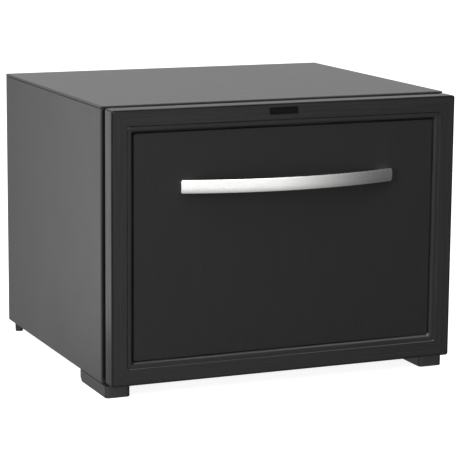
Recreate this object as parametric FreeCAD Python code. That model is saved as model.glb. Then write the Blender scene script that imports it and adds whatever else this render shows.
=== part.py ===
"""Refrigerated drawer minibar: steel cabinet, insulated drawer on telescopic slides, absorption unit.

Millimetres. X runs to the right seen from the front, Y to the back, Z up.
The feet stand on z = 0, and the origin is the middle of the whole outline.
"""
import FreeCAD, Part
import math
import os

V = FreeCAD.Vector

# ---------------------------------------------------------------- driving dimensions
# cabinet body
CABINET_W = 490.0
CABINET_H = 361.0
FOOT_H = 16.0
SHEET_T = 0.8
SHEET_BEND_R = 1.6
PANEL_FLANGE = 12.0
FRONT_FLANGE = 24.0
TOP_LIP = 3.0
SEAM = 0.6
SHEET_GAP = 0.2
UNIT_SPACE = 100.0
RAIL_CHANNEL_D = 34.0
RAIL_CHANNEL_H = 22.0
RAIL_CHANNEL_T = 1.2

# cavity and its liner
SIDE_WALL = 32.0
TOP_WALL = 32.0
FLOOR_WALL = 33.0
REAR_WALL = 32.0
LINER_T = 1.5
LINER_CORNER_R = 8.0

# drawer front
GASKET_GAP = 12.0
FRONT_REVEAL = 1.0
FRONT_T = 24.0
FRONT_RISE = 3.2
FRONT_DROP = 1.8
FRONT_CORNER_R = 3.0
FRONT_EDGE_R = 2.0
BEAD_INSET = 21.5
BEAD_CORNER_R = 6.5
BEAD_STEP = 0.9
BEAD_GROOVE = 1.2
BAND_W = 28.5
BEVEL_W = 4.0
BEVEL_CORNER_R = 4.0
PANEL_RECESS = 4.0
PANEL_T = 3.0
PANEL_OVERLAP = 6.0
FRAME_WALL = 2.5
BACK_LINER_T = 1.5
PLUG_SIDE_GAP = 1.5
PLUG_END_GAP = 2.5
PLUG_DRAFT = 4.0
PLUG_D = 16.0

# handle
HANDLE_L = 301.0
HANDLE_H = 17.4
HANDLE_DROP = 101.5
HANDLE_END_R = 3.5
HANDLE_PROJECTION = 28.0
HANDLE_SAG = 24.5
HANDLE_T = 6.5
HANDLE_CROWN = 1.8
HANDLE_PAD_L = 20.0
HANDLE_SCREW_R = 2.0
HANDLE_SCREW_INSET = 9.0

# gasket
GASKET_W = 17.0
GASKET_SIDE = 6.0
GASKET_RISE = 8.2
GASKET_DROP = 6.8
MAGNET_W = 10.0
MAGNET_T = 3.0
TOUCH = 0.3

# telescopic slides
SLIDE_L = 250.0
SLIDE_H = 36.0
SLIDE_THICK = 12.7
SLIDE_STEEL = 1.2
SLIDE_START = 6.0
SLIDE_REAR_GAP = 12.0
SLIDE_RISE = 79.0
SLIDE_SCREW_INSET = 22.0
BACKING_T = 1.5
BACKING_END = 6.0
BACKING_EDGE = 1.0
RACE_GAP = 0.3
BALL_R = 1.6
CAGE_T = 0.7
CAGE_PITCH = 11.0
CAGE_POCKETS = 7

# drawer rails and bin
RAIL_T = 1.5
RAIL_H = 62.0
RAIL_TAB = 30.0
RAIL_SHORT = 4.0
REAR_TAB = 12.0
REAR_TAB_H = 22.0
CROSS_RAIL_H = 18.0
TAB_SCREW_EDGE = 9.0
RAIL_SCREW_FRONT = 16.0
RAIL_SCREW_REAR = 24.0
BIN_RISE = 8.0
BIN_WALL = 2.5
BIN_DRAFT = 4.0
BIN_RIM_W = 5.0
BIN_RIM_T = 3.0
BIN_CORNER_R = 14.0
BIN_GAP = 0.4
BIN_FRONT_GAP = 2.4
BIN_REAR_GAP = 4.5
BIN_RIM_LAP = 2.0
RIB_COUNT = 7
RIB_W = 3.0
RIB_H = 2.0
RIB_MARGIN = 18.0
DIVIDER_T = 2.5
DIVIDER_SLOTS = 7
DIVIDER_WEB = 16.0
DIVIDER_MARGIN = 18.3
DIVIDER_DROP = 78.0
DIVIDER_D = 150.0

# feet
FRONT_FOOT_W = 34.0
FRONT_FOOT_OUT = 17.0
FRONT_FOOT_IN = 82.0
FRONT_FOOT_R = 5.0
FOOT_WALL = 3.0
FOOT_SCREW_D = 40.0
FOOT_SCREW_R = 1.9
FOOT_SCREW_BITE = 3.0
FOOT_WELL_R = 4.4
FOOT_WELL_D = 4.0
REAR_FOOT_R = 6.0
REAR_FOOT_IN = 7.5
REAR_FOOT_SIDE = 13.5

# cooling unit
TUBE_R = 6.0
PIPE_WALL_GAP = 0.5
UNIT_STANDOFF = 52.0
JACKET_R = 31.0
JACKET_SIDE = 64.0
JACKET_RISE = 88.0
JACKET_H = 190.0
VESSEL_R = 26.0
VESSEL_L = 170.0
VESSEL_RISE = 50.0
VESSEL_RUN = 40.0
COIL_TURNS = 5
COIL_GAP = 18.0
COIL_ENTRY = 37.0
COIL_CLEAR = 15.0
COIL_DROP = 61.0
CONDENSER_DROP = 33.0
CONDENSER_FALL = 8.0
BOILER_R = 8.0
BOILER_DROP = 28.0
HEATER_R = 6.0
HEATER_OUT = 12.0
HEATER_WALL = 3.0
FIN_COUNT = 10
FIN_T = 0.8
FIN_W = 46.0
FIN_H = 52.0
FIN_PITCH = 17.0
EXCHANGER_R = 12.0
EVAPORATOR_W = 200.0
EVAPORATOR_H = 96.0
EVAPORATOR_FINS = 13
EVAPORATOR_FIN_D = 14.0
EVAPORATOR_PLATE_T = 2.5
EVAPORATOR_STANDOFF = 16.5
EVAPORATOR_DROP = 69.0
TUBE_SPREAD = 20.0
TUBE_INSET = 24.0
ENTRY_BEND = 12.0
JOIN_RUN = 16.0
HATCH_SIDE = 10.0
HATCH_H = 68.0
HATCH_GAP = 0.5
HATCH_LAP = 12.0
HATCH_COVER_T = 2.0
TRAY_SIDE = 6.0
TRAY_H = 14.0
TRAY_WALL = 2.0
TRAY_GAP = 4.0
BRACKET_X = 62.0
BRACKET_W = 26.0
BRACKET_T = 1.5
BRACKET_FOOT = 18.0

# controls
KNOB_R = 13.0
KNOB_D = 12.0
KNOB_SHAFT_R = 3.0
KNOB_FIT = 0.05
HOUSING_W = 120.0
HOUSING_H = 34.0
HOUSING_D = 62.0
HOUSING_SIDE = 33.5
HOUSING_FRONT = 52.0
HOUSING_WALL = 2.0
KNOB_SIDE = 24.0
LENS_SIDE = 12.0
LENS_W = 48.0
LENS_END = 12.0
LENS_T = 3.5
BOARD_EDGE = 4.0
BOARD_T = 1.6
REED_GAP = 4.0
REED_W = 28.0
REED_D = 12.0
REED_H = 7.0
SWITCH_W = 20.0
SWITCH_T = 4.0
SWITCH_DROP = 12.0
CONTROL_BOX_W = 70.0
CONTROL_BOX_H = 72.0
CONTROL_BOX_D = 64.0
CONTROL_BOX_RISE = 28.0
CONTROL_BOX_WALL = 2.0
EXCHANGER_GAP = 12.2
INLET_IN = 6.0
INLET_W = 27.0
INLET_H = 20.0
INLET_FLANGE = 2.5
INLET_DEPTH = 24.0
INLET_WALL = 1.6
INLET_FLOOR = 6.0

# ---------------------------------------------------------------- places worked out from them
CAVITY_D = SLIDE_START + SLIDE_L + SLIDE_REAR_GAP
INSULATED_D = CAVITY_D + REAR_WALL
CABINET_D = INSULATED_D + UNIT_SPACE
UNIT_MID = INSULATED_D + UNIT_STANDOFF
FRONT_Y = (GASKET_GAP + FRONT_T + HANDLE_PROJECTION - CABINET_D) / 2.0
BODY_BOTTOM = FOOT_H
BODY_TOP = FOOT_H + CABINET_H
HALF_W = CABINET_W / 2.0
CAVITY_HALF = HALF_W - SIDE_WALL
CAVITY_BOTTOM = BODY_BOTTOM + FLOOR_WALL
CAVITY_TOP = BODY_TOP - TOP_WALL
LINER_HALF = CAVITY_HALF - LINER_T
CEILING = CAVITY_TOP - LINER_T
BASE_TOP = BODY_BOTTOM + 2 * (SHEET_T + SHEET_GAP)
FRONT_HALF = HALF_W - FRONT_REVEAL
FRONT_BOTTOM = BODY_BOTTOM + FRONT_RISE
FRONT_TOP = BODY_TOP - FRONT_DROP
HANDLE_Z = FRONT_TOP - HANDLE_DROP
FRONT_FACE = -(GASKET_GAP + FRONT_T)
PANEL_FACE = FRONT_FACE + PANEL_RECESS
PANEL_EDGE = BAND_W + BEVEL_W
LINER_BACK = -GASKET_GAP
RAIL_OUT = LINER_HALF - SLIDE_THICK
RAIL_IN = RAIL_OUT - RAIL_T
SLIDE_Z = CAVITY_BOTTOM + SLIDE_RISE
SLIDE_END = SLIDE_START + SLIDE_L
RAIL_REAR = SLIDE_END - RAIL_SHORT
RAIL_Z0 = SLIDE_Z - RAIL_H / 2.0
RAIL_Z1 = SLIDE_Z + RAIL_H / 2.0
PLUG_FACE = LINER_BACK + PLUG_D
BIN_FLOOR_Z = CAVITY_BOTTOM + BIN_RISE
EVAPORATOR_Z = CAVITY_TOP - EVAPORATOR_DROP
EVAPORATOR_BACK = CAVITY_D - LINER_T - EVAPORATOR_STANDOFF


# ---------------------------------------------------------------- shared shapes
def box(x0, x1, d0, d1, z0, z1):
    """A block between two depths behind the cabinet's front plane."""
    return Part.makeBox(x1 - x0, d1 - d0, z1 - z0, V(x0, FRONT_Y + d0, z0))


def at(x, d, z):
    """A point at a depth behind the cabinet's front plane."""
    return V(x, FRONT_Y + d, z)


def rod(radius, start, end):
    """A round bar from one point to another."""
    return Part.makeCylinder(radius, start.distanceToPoint(end), start, end - start)


def mirrored(shape):
    """The same piece on the other side."""
    return shape.mirror(V(0, 0, 0), V(1, 0, 0))


def both(shapes):
    """A group of the left pieces and their mirror images."""
    return Part.makeCompound(shapes + [mirrored(s) for s in shapes])


def edges_along(shape, axis, keep):
    """Straight edges that run along an axis and pass the test on their middle point."""
    found = []
    for edge in shape.Edges:
        ends = [v.Point for v in edge.Vertexes]
        if len(ends) != 2:
            continue
        run = ends[1] - ends[0]
        if run.Length < 1e-6 or abs(abs(run.normalize().dot(axis)) - 1.0) > 1e-6:
            continue
        if keep((ends[0] + ends[1]) * 0.5):
            found.append(edge)
    return found


def rounded_block(x0, x1, d0, d1, z0, z1, radius, axis):
    """A block with its four edges along one axis rounded."""
    block = box(x0, x1, d0, d1, z0, z1)
    return block.makeFillet(radius, edges_along(block, axis, lambda p: True))


def ring(half_w, z0, z1, d0, d1, width, radius):
    """A flat rectangular ring, rounded at its outer corners."""
    outer = rounded_block(-half_w, half_w, d0, d1, z0, z1, radius, V(0, 1, 0))
    inner_r = max(radius - width, 0.6)
    inner = rounded_block(-half_w + width, half_w - width, d0 - 1, d1 + 1,
                          z0 + width, z1 - width, inner_r, V(0, 1, 0))
    return outer.cut(inner)


def bent_tube(points, radius, bend):
    """A tube of straight runs joined by tangent arcs of one bend radius."""
    edges = []
    start = points[0]
    for before, corner, after in zip(points, points[1:], points[2:]):
        back = (before - corner).normalize()
        onward = (after - corner).normalize()
        turn = math.pi - back.getAngle(onward)
        reach = bend * math.tan(turn / 2.0)
        first = corner + back * reach
        last = corner + onward * reach
        half = (back + onward).normalize()
        middle = corner + half * (bend / math.cos(turn / 2.0) - bend)
        edges.append(Part.LineSegment(start, first).toShape())
        edges.append(Part.Arc(first, middle, last).toShape())
        start = last
    edges.append(Part.LineSegment(start, points[-1]).toShape())
    path = Part.Wire(edges)
    circle = Part.Circle(points[0], points[1] - points[0], radius).toShape()
    return path.makePipeShell([Part.Wire([circle])], True, False)


def screw(point, direction, shank_r, shank_l, head_r, head_h):
    """A pan-head screw: the head stands off the surface at the point, the shank goes in."""
    shank = Part.makeCylinder(shank_r, shank_l, point, direction)
    head = Part.makeCylinder(head_r, head_h, point, direction * -1)
    return head.fuse(shank)


PIECES = {}


# ---------------------------------------------------------------- cabinet sheet metal
def side_panel():
    """Left side: a folded steel pan with a wide flange in front, where the gasket's magnet pulls."""
    top = BODY_TOP - TOP_LIP - SEAM
    outer = box(-HALF_W, -HALF_W + PANEL_FLANGE, 0, CABINET_D, BODY_BOTTOM, top)
    edges = edges_along(outer, V(0, 0, 1), lambda p: p.x < -HALF_W + 1)
    edges += edges_along(outer, V(0, 1, 0), lambda p: p.x < -HALF_W + 1)
    outer = outer.makeFillet(SHEET_BEND_R, edges)
    hollow = box(-HALF_W + SHEET_T, -HALF_W + PANEL_FLANGE + 1, SHEET_T, CABINET_D - SHEET_T,
                 BODY_BOTTOM + SHEET_T, top - SHEET_T)
    edges = edges_along(hollow, V(0, 0, 1), lambda p: p.x < -HALF_W + 1)
    edges += edges_along(hollow, V(0, 1, 0), lambda p: p.x < -HALF_W + 1)
    hollow = hollow.makeFillet(SHEET_BEND_R - SHEET_T, edges)
    flange = box(-HALF_W + PANEL_FLANGE - 1, -HALF_W + FRONT_FLANGE, 0, SHEET_T, BODY_BOTTOM, top)
    return outer.cut(hollow).fuse(flange).removeSplitter()


def top_panel():
    """Top: a shallow folded tray, with flanges turned down in front and behind."""
    outer = box(-HALF_W, HALF_W, 0, CABINET_D, BODY_TOP - TOP_LIP, BODY_TOP)
    edges = [e for e in outer.Edges if e.BoundBox.ZMin > BODY_TOP - 0.1]
    outer = outer.makeFillet(SHEET_BEND_R, edges)
    hollow = box(-HALF_W + SHEET_T, HALF_W - SHEET_T, SHEET_T, CABINET_D - SHEET_T,
                 BODY_TOP - TOP_LIP - 1, BODY_TOP - SHEET_T)
    tray = outer.cut(hollow)
    reach = HALF_W - FRONT_FLANGE - SEAM
    front = box(-reach, reach, 0, SHEET_T, BODY_TOP - FRONT_FLANGE, BODY_TOP - TOP_LIP + 0.5)
    reach = HALF_W - PANEL_FLANGE - SEAM
    rear = box(-reach, reach, CABINET_D - SHEET_T, CABINET_D,
               BODY_TOP - PANEL_FLANGE, BODY_TOP - TOP_LIP + 0.5)
    return tray.fuse([front, rear]).removeSplitter()


def base_plate():
    """Floor of the insulated part: a plate on the side flanges, with a front flange turned up."""
    half = HALF_W - SHEET_BEND_R
    low = BODY_BOTTOM + SHEET_T
    plate = box(-half, half, SHEET_T + SHEET_GAP, INSULATED_D, low, BASE_TOP)
    reach = HALF_W - FRONT_FLANGE - SEAM
    front = box(-reach, reach, 0, SHEET_T + SHEET_GAP, low, BODY_BOTTOM + FRONT_FLANGE)
    return plate.fuse(front).removeSplitter()


def rear_rail():
    """A channel across the bottom at the back, which ties the side panels and carries the rear feet."""
    half = HALF_W - SHEET_BEND_R
    low = BODY_BOTTOM + SHEET_T
    back = CABINET_D - SHEET_T - SHEET_GAP
    front = back - RAIL_CHANNEL_D
    wall = RAIL_CHANNEL_T
    channel = box(-half, half, front, back, low, low + RAIL_CHANNEL_H)
    hollow = box(-half - 1, half + 1, front + wall, back - wall, low + wall, low + RAIL_CHANNEL_H + 1)
    return channel.cut(hollow)


def rear_bulkhead():
    """Galvanised sheet behind the foam, with the hatch hole that the cooling unit goes in through."""
    half = HALF_W - SHEET_T - SHEET_GAP
    high = BODY_TOP - SHEET_T - SHEET_GAP
    sheet = box(-half, half, INSULATED_D, INSULATED_D + SHEET_T, BASE_TOP, high)
    hole = hatch_space(0, INSULATED_D - 1, INSULATED_D + 2)
    return sheet.cut([hole, corner_notch(), mirrored(corner_notch())])


def corner_notch():
    """Room for the left side panel's top flange in what lies between the panels."""
    seam = BODY_TOP - TOP_LIP - SEAM
    return box(-HALF_W, -HALF_W + PANEL_FLANGE + 2 * SHEET_GAP, 0, CABINET_D,
               seam - SHEET_BEND_R, seam + SHEET_GAP)


def hatch_space(grow, d0, d1):
    """Space of the hatch through the rear wall, wider all round by grow."""
    half = EVAPORATOR_W / 2.0 + HATCH_SIDE + grow
    high = HATCH_H / 2.0 + grow
    return box(-half, half, d0, d1, EVAPORATOR_Z - high, EVAPORATOR_Z + high)


def cavity(grow=0.0):
    """Outer surface of the liner's tub, which the foam is cast against."""
    half = CAVITY_HALF - grow
    tub = box(-half, half, -1, CAVITY_D - grow, CAVITY_BOTTOM + grow, CAVITY_TOP - grow)
    edges = edges_along(tub, V(0, 1, 0), lambda p: True)
    return tub.makeFillet(LINER_CORNER_R - grow, edges)


def foam_insulation():
    """Polyurethane foam between the steel and the liner."""
    half = HALF_W - SHEET_T - SHEET_GAP
    front = SHEET_T + LINER_T + 2 * SHEET_GAP
    block = box(-half, half, front, INSULATED_D, BASE_TOP, BODY_TOP - SHEET_T - SHEET_GAP)
    block = block.cut([cavity(), hatch_space(0, CAVITY_D - 1, INSULATED_D + 1)])
    block = block.cut([corner_notch(), mirrored(corner_notch())])
    return block.cut([backing_plate(), mirrored(backing_plate())])


def inner_liner():
    """White tub, vacuum formed, with a lip that tucks in behind the steel in front."""
    lip_d = SHEET_T + SHEET_GAP
    lip = rounded_block(-HALF_W + FRONT_FLANGE / 2.0, HALF_W - FRONT_FLANGE / 2.0, lip_d,
                        lip_d + LINER_T, BODY_BOTTOM + FRONT_FLANGE / 2.0,
                        BODY_TOP - FRONT_FLANGE / 2.0, LINER_CORNER_R, V(0, 1, 0))
    tub = cavity().common(box(-HALF_W, HALF_W, lip_d, CAVITY_D + 1, BODY_BOTTOM, BODY_TOP))
    liner = lip.fuse(tub).cut(cavity(LINER_T))
    return liner.cut(tube_holes(CAVITY_D - 4, CAVITY_D + 4)).removeSplitter()


def slide_screw_depths():
    """Depths of the screws that hold each cabinet member to its backing plate."""
    return [SLIDE_START + SLIDE_SCREW_INSET, SLIDE_END - SLIDE_SCREW_INSET]


def backing_plate():
    """Left steel plate, cast into the foam behind the liner, that the slide's screws bite into."""
    reach = SLIDE_H / 2.0 + BACKING_EDGE
    return box(-CAVITY_HALF - BACKING_T, -CAVITY_HALF, SLIDE_START + BACKING_END,
               SLIDE_END - BACKING_END, SLIDE_Z - reach, SLIDE_Z + reach)


def hatch():
    """Foam plug and cover that shut the rear wall round the evaporator's tubes."""
    wall = INSULATED_D + SHEET_T
    block = hatch_space(-HATCH_GAP, CAVITY_D, wall)
    cover = hatch_space(HATCH_LAP, wall, wall + HATCH_COVER_T)
    cover = cover.makeFillet(HATCH_LAP / 2.0, edges_along(cover, V(0, 1, 0), lambda p: True))
    holes = tube_holes(CAVITY_D - 2, wall + HATCH_COVER_T + 1)
    return block.cut(holes), cover.cut(holes)


def tube_holes(d0, d1):
    """Clearance holes for both ends of the evaporator's tube."""
    x = tube_entry()
    return [rod(TUBE_R + PIPE_WALL_GAP, at(x, d0, z), at(x, d1, z)) for z in tube_heights()]


def tube_entry():
    """Sideways place where both ends of the evaporator's tube come through the rear wall."""
    return -EVAPORATOR_W / 2.0 + TUBE_INSET


def tube_heights():
    """Heights of the evaporator's upper and lower tubes."""
    return [EVAPORATOR_Z + TUBE_SPREAD, EVAPORATOR_Z - TUBE_SPREAD]


# ---------------------------------------------------------------- feet
def front_foot():
    """Left front foot: a moulded block that reaches out under the drawer front against tipping."""
    foot = box(-HALF_W, -HALF_W + FRONT_FOOT_W, -FRONT_FOOT_OUT, FRONT_FOOT_IN, 0, BODY_BOTTOM)
    front = edges_along(foot, V(0, 0, 1), lambda p: p.y < FRONT_Y)
    foot = foot.makeFillet(FRONT_FOOT_R, front)
    rear = edges_along(foot, V(1, 0, 0), lambda p: p.y > FRONT_Y and p.z < 1)
    foot = foot.makeChamfer(6, rear)
    low = [e for e in foot.Edges if e.BoundBox.ZMax < 0.1]
    foot = foot.makeChamfer(0.8, low)
    wall = FOOT_WALL
    hollow = box(-HALF_W + wall, -HALF_W + FRONT_FOOT_W - wall, FRONT_FOOT_R,
                 FRONT_FOOT_IN - 4 * wall, wall, BODY_BOTTOM + 1)
    boss = Part.makeCylinder(FOOT_WELL_R + 1.6, BODY_BOTTOM - wall, at(foot_screw_x(), FOOT_SCREW_D, wall))
    well = Part.makeCylinder(FOOT_WELL_R, FOOT_WELL_D, at(foot_screw_x(), FOOT_SCREW_D, 0))
    bore = Part.makeCylinder(FOOT_SCREW_R, BODY_BOTTOM, at(foot_screw_x(), FOOT_SCREW_D, 0))
    return foot.cut(hollow).fuse(boss).cut([bore, well])


def foot_screw_x():
    """Sideways place of the left front foot's screw."""
    return -HALF_W + FRONT_FOOT_W / 2.0


def rear_foot():
    """A turned rubber foot with a slight taper, under the left rear corner."""
    centre = at(-HALF_W + REAR_FOOT_SIDE, CABINET_D - REAR_FOOT_IN, 0)
    return Part.makeCone(REAR_FOOT_R - 0.6, REAR_FOOT_R, BODY_BOTTOM, centre)


def foot_screws():
    """Screws up through the front feet into the cabinet's floor."""
    start = at(foot_screw_x(), FOOT_SCREW_D, FOOT_WELL_D)
    length = BASE_TOP - FOOT_WELL_D + FOOT_SCREW_BITE
    return both([screw(start, V(0, 0, 1), FOOT_SCREW_R, length, 3.4, 1.6)])


PIECES["left_side_panel"] = side_panel()
PIECES["right_side_panel"] = mirrored(PIECES["left_side_panel"])
PIECES["top_panel"] = top_panel()
PIECES["base_plate"] = base_plate()
PIECES["rear_rail"] = rear_rail()
PIECES["rear_bulkhead"] = rear_bulkhead()
PIECES["foam_insulation"] = foam_insulation()
PIECES["inner_liner"] = inner_liner()
PIECES["slide_backing_plates"] = Part.makeCompound([backing_plate(), mirrored(backing_plate())])
PIECES["hatch_plug"], PIECES["hatch_cover"] = hatch()
PIECES["left_front_foot"] = front_foot()
PIECES["right_front_foot"] = mirrored(PIECES["left_front_foot"])
PIECES["foot_screws"] = foot_screws()
PIECES["left_side_panel"] = PIECES["left_side_panel"].cut(PIECES["foot_screws"])
PIECES["right_side_panel"] = PIECES["right_side_panel"].cut(PIECES["foot_screws"])
PIECES["base_plate"] = PIECES["base_plate"].cut(PIECES["foot_screws"])
PIECES["foam_insulation"] = PIECES["foam_insulation"].cut(PIECES["foot_screws"])
PIECES["rear_feet"] = both([rear_foot()])


# ---------------------------------------------------------------- drawer front
def front_slab(inset, d0, d1, radius):
    """A slab of the drawer front's outline, drawn in by an inset, with rounded corners."""
    half = FRONT_HALF - inset
    return rounded_block(-half, half, d0, d1, FRONT_BOTTOM + inset, FRONT_TOP - inset, radius, V(0, 1, 0))


def drafted(half, low, high, d0, d1, draft, radius):
    """A block from an outline at one depth to the same outline at another, drawn in by a draft."""
    wires = []
    for inset, d in ((0, d0), (draft, d1)):
        x = half - inset
        z0 = low + inset
        z1 = high - inset
        wires.append(rounded_wire([at(-x, d, z0), at(x, d, z0), at(x, d, z1), at(-x, d, z1)], radius))
    return Part.makeLoft(wires, True, True)


def rounded_wire(corners, radius):
    """A closed outline of straight runs with an arc of one radius at each corner."""
    edges = []
    count = len(corners)
    for i, corner in enumerate(corners):
        back = (corners[i - 1] - corner).normalize()
        onward = (corners[(i + 1) % count] - corner).normalize()
        following = corners[(i + 1) % count]
        first = corner + back * radius
        last = corner + onward * radius
        middle = corner + (back + onward) * (radius * (1 - math.sqrt(0.5)))
        edges.append(Part.Arc(first, middle, last).toShape())
        edges.append(Part.LineSegment(last, following - onward * radius).toShape())
    return Part.Wire(edges)


def front_frame():
    """Moulded frame: a flat band, a fine bead, an inner band and a bevel down to the decor panel."""
    body = front_slab(0, FRONT_FACE, LINER_BACK - BACK_LINER_T, FRONT_CORNER_R)
    face = [e for e in body.Edges if e.BoundBox.YMax < FRONT_Y + FRONT_FACE + 0.1]
    body = body.makeFillet(FRONT_EDGE_R, face)
    step = front_slab(BEAD_INSET, FRONT_FACE - 1, FRONT_FACE + BEAD_STEP, BEAD_CORNER_R)
    core = front_slab(BEAD_INSET + BEAD_GROOVE, FRONT_FACE - 1, FRONT_FACE + BEAD_STEP + 1,
                      BEAD_CORNER_R - 1)
    body = body.cut(step.cut(core))
    past = 0.25
    inset = BAND_W - BEVEL_W * past
    bevel = drafted(FRONT_HALF - inset, FRONT_BOTTOM + inset, FRONT_TOP - inset,
                    FRONT_FACE - PANEL_RECESS * past, PANEL_FACE + PANEL_RECESS * past,
                    BEVEL_W * (1 + 2 * past), BEVEL_CORNER_R)
    rebate = front_slab(PANEL_EDGE - PANEL_OVERLAP, PANEL_FACE, PANEL_FACE + PANEL_T, 2.0)
    body = body.cut(bevel).cut(rebate)
    behind = front_slab(PANEL_EDGE - PANEL_OVERLAP, PANEL_FACE + PANEL_T - 0.5, LINER_BACK, 2.0)
    hollow = front_slab(FRAME_WALL, FRONT_FACE + FRAME_WALL + BEAD_STEP, LINER_BACK, 2.0)
    rim = front_slab(PANEL_EDGE - PANEL_OVERLAP - FRAME_WALL, FRONT_FACE, PANEL_FACE + PANEL_T, 2.0)
    return body.cut([behind, hollow.cut(rim)]).removeSplitter()


def decor_panel():
    """Dark decor panel, held in the frame's rebate."""
    return front_slab(PANEL_EDGE - PANEL_OVERLAP, PANEL_FACE, PANEL_FACE + PANEL_T, 2.0)


def front_back_liner():
    """White back of the drawer front, with a raised plug that fills the mouth of the cavity."""
    back = LINER_BACK - BACK_LINER_T
    sheet = front_slab(SEAM, back, LINER_BACK, FRONT_CORNER_R)
    return sheet.fuse(plug(0)).cut(plug_core()).removeSplitter()


def plug(wall):
    """The raised plug that stands in the cavity's mouth, or its inside when given a wall."""
    half = LINER_HALF - PLUG_SIDE_GAP - wall
    low = CAVITY_BOTTOM + LINER_T + PLUG_END_GAP + wall
    high = CEILING - PLUG_END_GAP - wall
    return drafted(half, low, high, LINER_BACK - BACK_LINER_T, PLUG_FACE - wall, PLUG_DRAFT,
                   LINER_CORNER_R - wall)


def plug_core():
    """Space inside the raised plug, which the foam fills."""
    return plug(BACK_LINER_T)


def front_foam():
    """Foam core between the decor panel and the back liner."""
    front = PANEL_FACE + PANEL_T
    back = LINER_BACK - BACK_LINER_T
    inset = PANEL_EDGE - PANEL_OVERLAP
    middle = front_slab(inset, front, back, 2.0)
    rim = front_slab(FRAME_WALL, FRONT_FACE + FRAME_WALL + BEAD_STEP, back, 2.0)
    keep = front_slab(inset - FRAME_WALL, FRONT_FACE, front, 2.0)
    return middle.fuse([rim.cut(keep), plug_core()]).removeSplitter()


def gasket_outline(inset):
    """Half width, bottom and top of the gasket's ring, over the cabinet's front flange."""
    return HALF_W - GASKET_SIDE - inset, BODY_BOTTOM + GASKET_RISE + inset, BODY_TOP - GASKET_DROP - inset


def gasket():
    """Magnetic gasket: a foot on the liner, a bellows with a waist, and a magnet pocket."""
    half, low, high = gasket_outline(0)
    foot = ring(half, low, high, LINER_BACK, LINER_BACK + 2.2, GASKET_W, 6)
    neck = ring(half - 4, low + 4, high - 4, LINER_BACK + 2, -5.4, GASKET_W - 8, 3)
    pocket = ring(half - 1.5, low + 1.5, high - 1.5, -5.6, -TOUCH, GASKET_W - 3, 5)
    return foot.fuse([neck, pocket]).cut(magnet_strips()).removeSplitter()


def magnet_strips():
    """Four flexible magnet strips inside the gasket, one along each side."""
    half, low, high = gasket_outline(GASKET_W / 2.0)
    d0 = -TOUCH - 1.0 - MAGNET_T
    d1 = -TOUCH - 1.0
    reach = MAGNET_W / 2.0
    clear = MAGNET_W / 2.0 + 2
    strips = [box(-half + clear, half - clear, d0, d1, z - reach, z + reach) for z in (low, high)]
    strips += [box(x - reach, x + reach, d0, d1, low + clear, high - clear) for x in (-half, half)]
    return Part.makeCompound(strips)


# ---------------------------------------------------------------- bow handle
def handle_radius():
    """Radius of the bow's outer face, from its chord and its rise."""
    return ((HANDLE_L / 2.0) ** 2 + HANDLE_SAG ** 2) / (2.0 * HANDLE_SAG)


def handle():
    """Brushed bow: a crowned strip bent to an arc, thickened to a flat seat at each end."""
    radius = handle_radius()
    front = FRONT_FACE - HANDLE_PROJECTION
    centre = at(0, front + radius, HANDLE_Z)
    half_h = HANDLE_H / 2.0
    crown = centre + V(0, -radius, 0)
    shoulder = centre + V(0, -radius + HANDLE_CROWN, half_h)
    lower = centre + V(0, -radius + HANDLE_CROWN, -half_h)
    inner = -radius + HANDLE_T
    face = Part.Arc(lower, crown, shoulder).toShape()
    top = Part.LineSegment(shoulder, centre + V(0, inner, half_h)).toShape()
    back = Part.LineSegment(centre + V(0, inner, half_h), centre + V(0, inner, -half_h)).toShape()
    bottom = Part.LineSegment(centre + V(0, inner, -half_h), lower).toShape()
    section = Part.Face(Part.Wire([face, top, back, bottom]))
    sweep = math.degrees(math.asin(HANDLE_L / 2.0 / radius)) + 3
    section.rotate(centre, V(0, 0, 1), -sweep)
    bow = section.revolve(centre, V(0, 0, 1), 2 * sweep)
    fill = Part.makeCylinder(radius - HANDLE_T + 0.5, HANDLE_H, centre - V(0, 0, half_h))
    pads = box(-HANDLE_L, HANDLE_L, front, PANEL_FACE, HANDLE_Z - half_h, HANDLE_Z + half_h)
    gap = HANDLE_L / 2.0 - HANDLE_PAD_L
    pads = pads.cut(box(-gap, gap, front, 0, HANDLE_Z - HANDLE_H, HANDLE_Z + HANDLE_H)).common(fill)
    reach = HANDLE_L / 2.0
    trim = rounded_block(-reach, reach, front - 1, PANEL_FACE, HANDLE_Z - half_h, HANDLE_Z + half_h,
                         HANDLE_END_R, V(0, 1, 0))
    bow = bow.fuse(pads).common(trim).removeSplitter()
    return bow.cut([handle_screw_hole(-1), handle_screw_hole(1)])


def handle_screw_hole(side):
    """Tapped hole in one end of the handle."""
    x = side * (HANDLE_L / 2.0 - HANDLE_SCREW_INSET)
    return rod(HANDLE_SCREW_R, at(x, PANEL_FACE, HANDLE_Z), at(x, PANEL_FACE - 4.5, HANDLE_Z))


def handle_screw(side):
    """Screw through the decor panel from behind into the handle's seat."""
    x = side * (HANDLE_L / 2.0 - HANDLE_SCREW_INSET)
    start = at(x, PANEL_FACE + PANEL_T, HANDLE_Z)
    return screw(start, V(0, -1, 0), HANDLE_SCREW_R, PANEL_T + 4.0, 4.0, 2.4)


def handle_screws():
    """Both handle screws."""
    return Part.makeCompound([handle_screw(-1), handle_screw(1)])


PIECES["front_frame"] = front_frame()
PIECES["decor_panel"] = decor_panel().cut(handle_screws())
PIECES["front_foam"] = front_foam().cut(handle_screws())
PIECES["front_back_liner"] = front_back_liner()
PIECES["gasket"] = gasket()
PIECES["gasket_magnets"] = magnet_strips()
PIECES["handle"] = handle()
PIECES["handle_screws"] = handle_screws()


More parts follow.
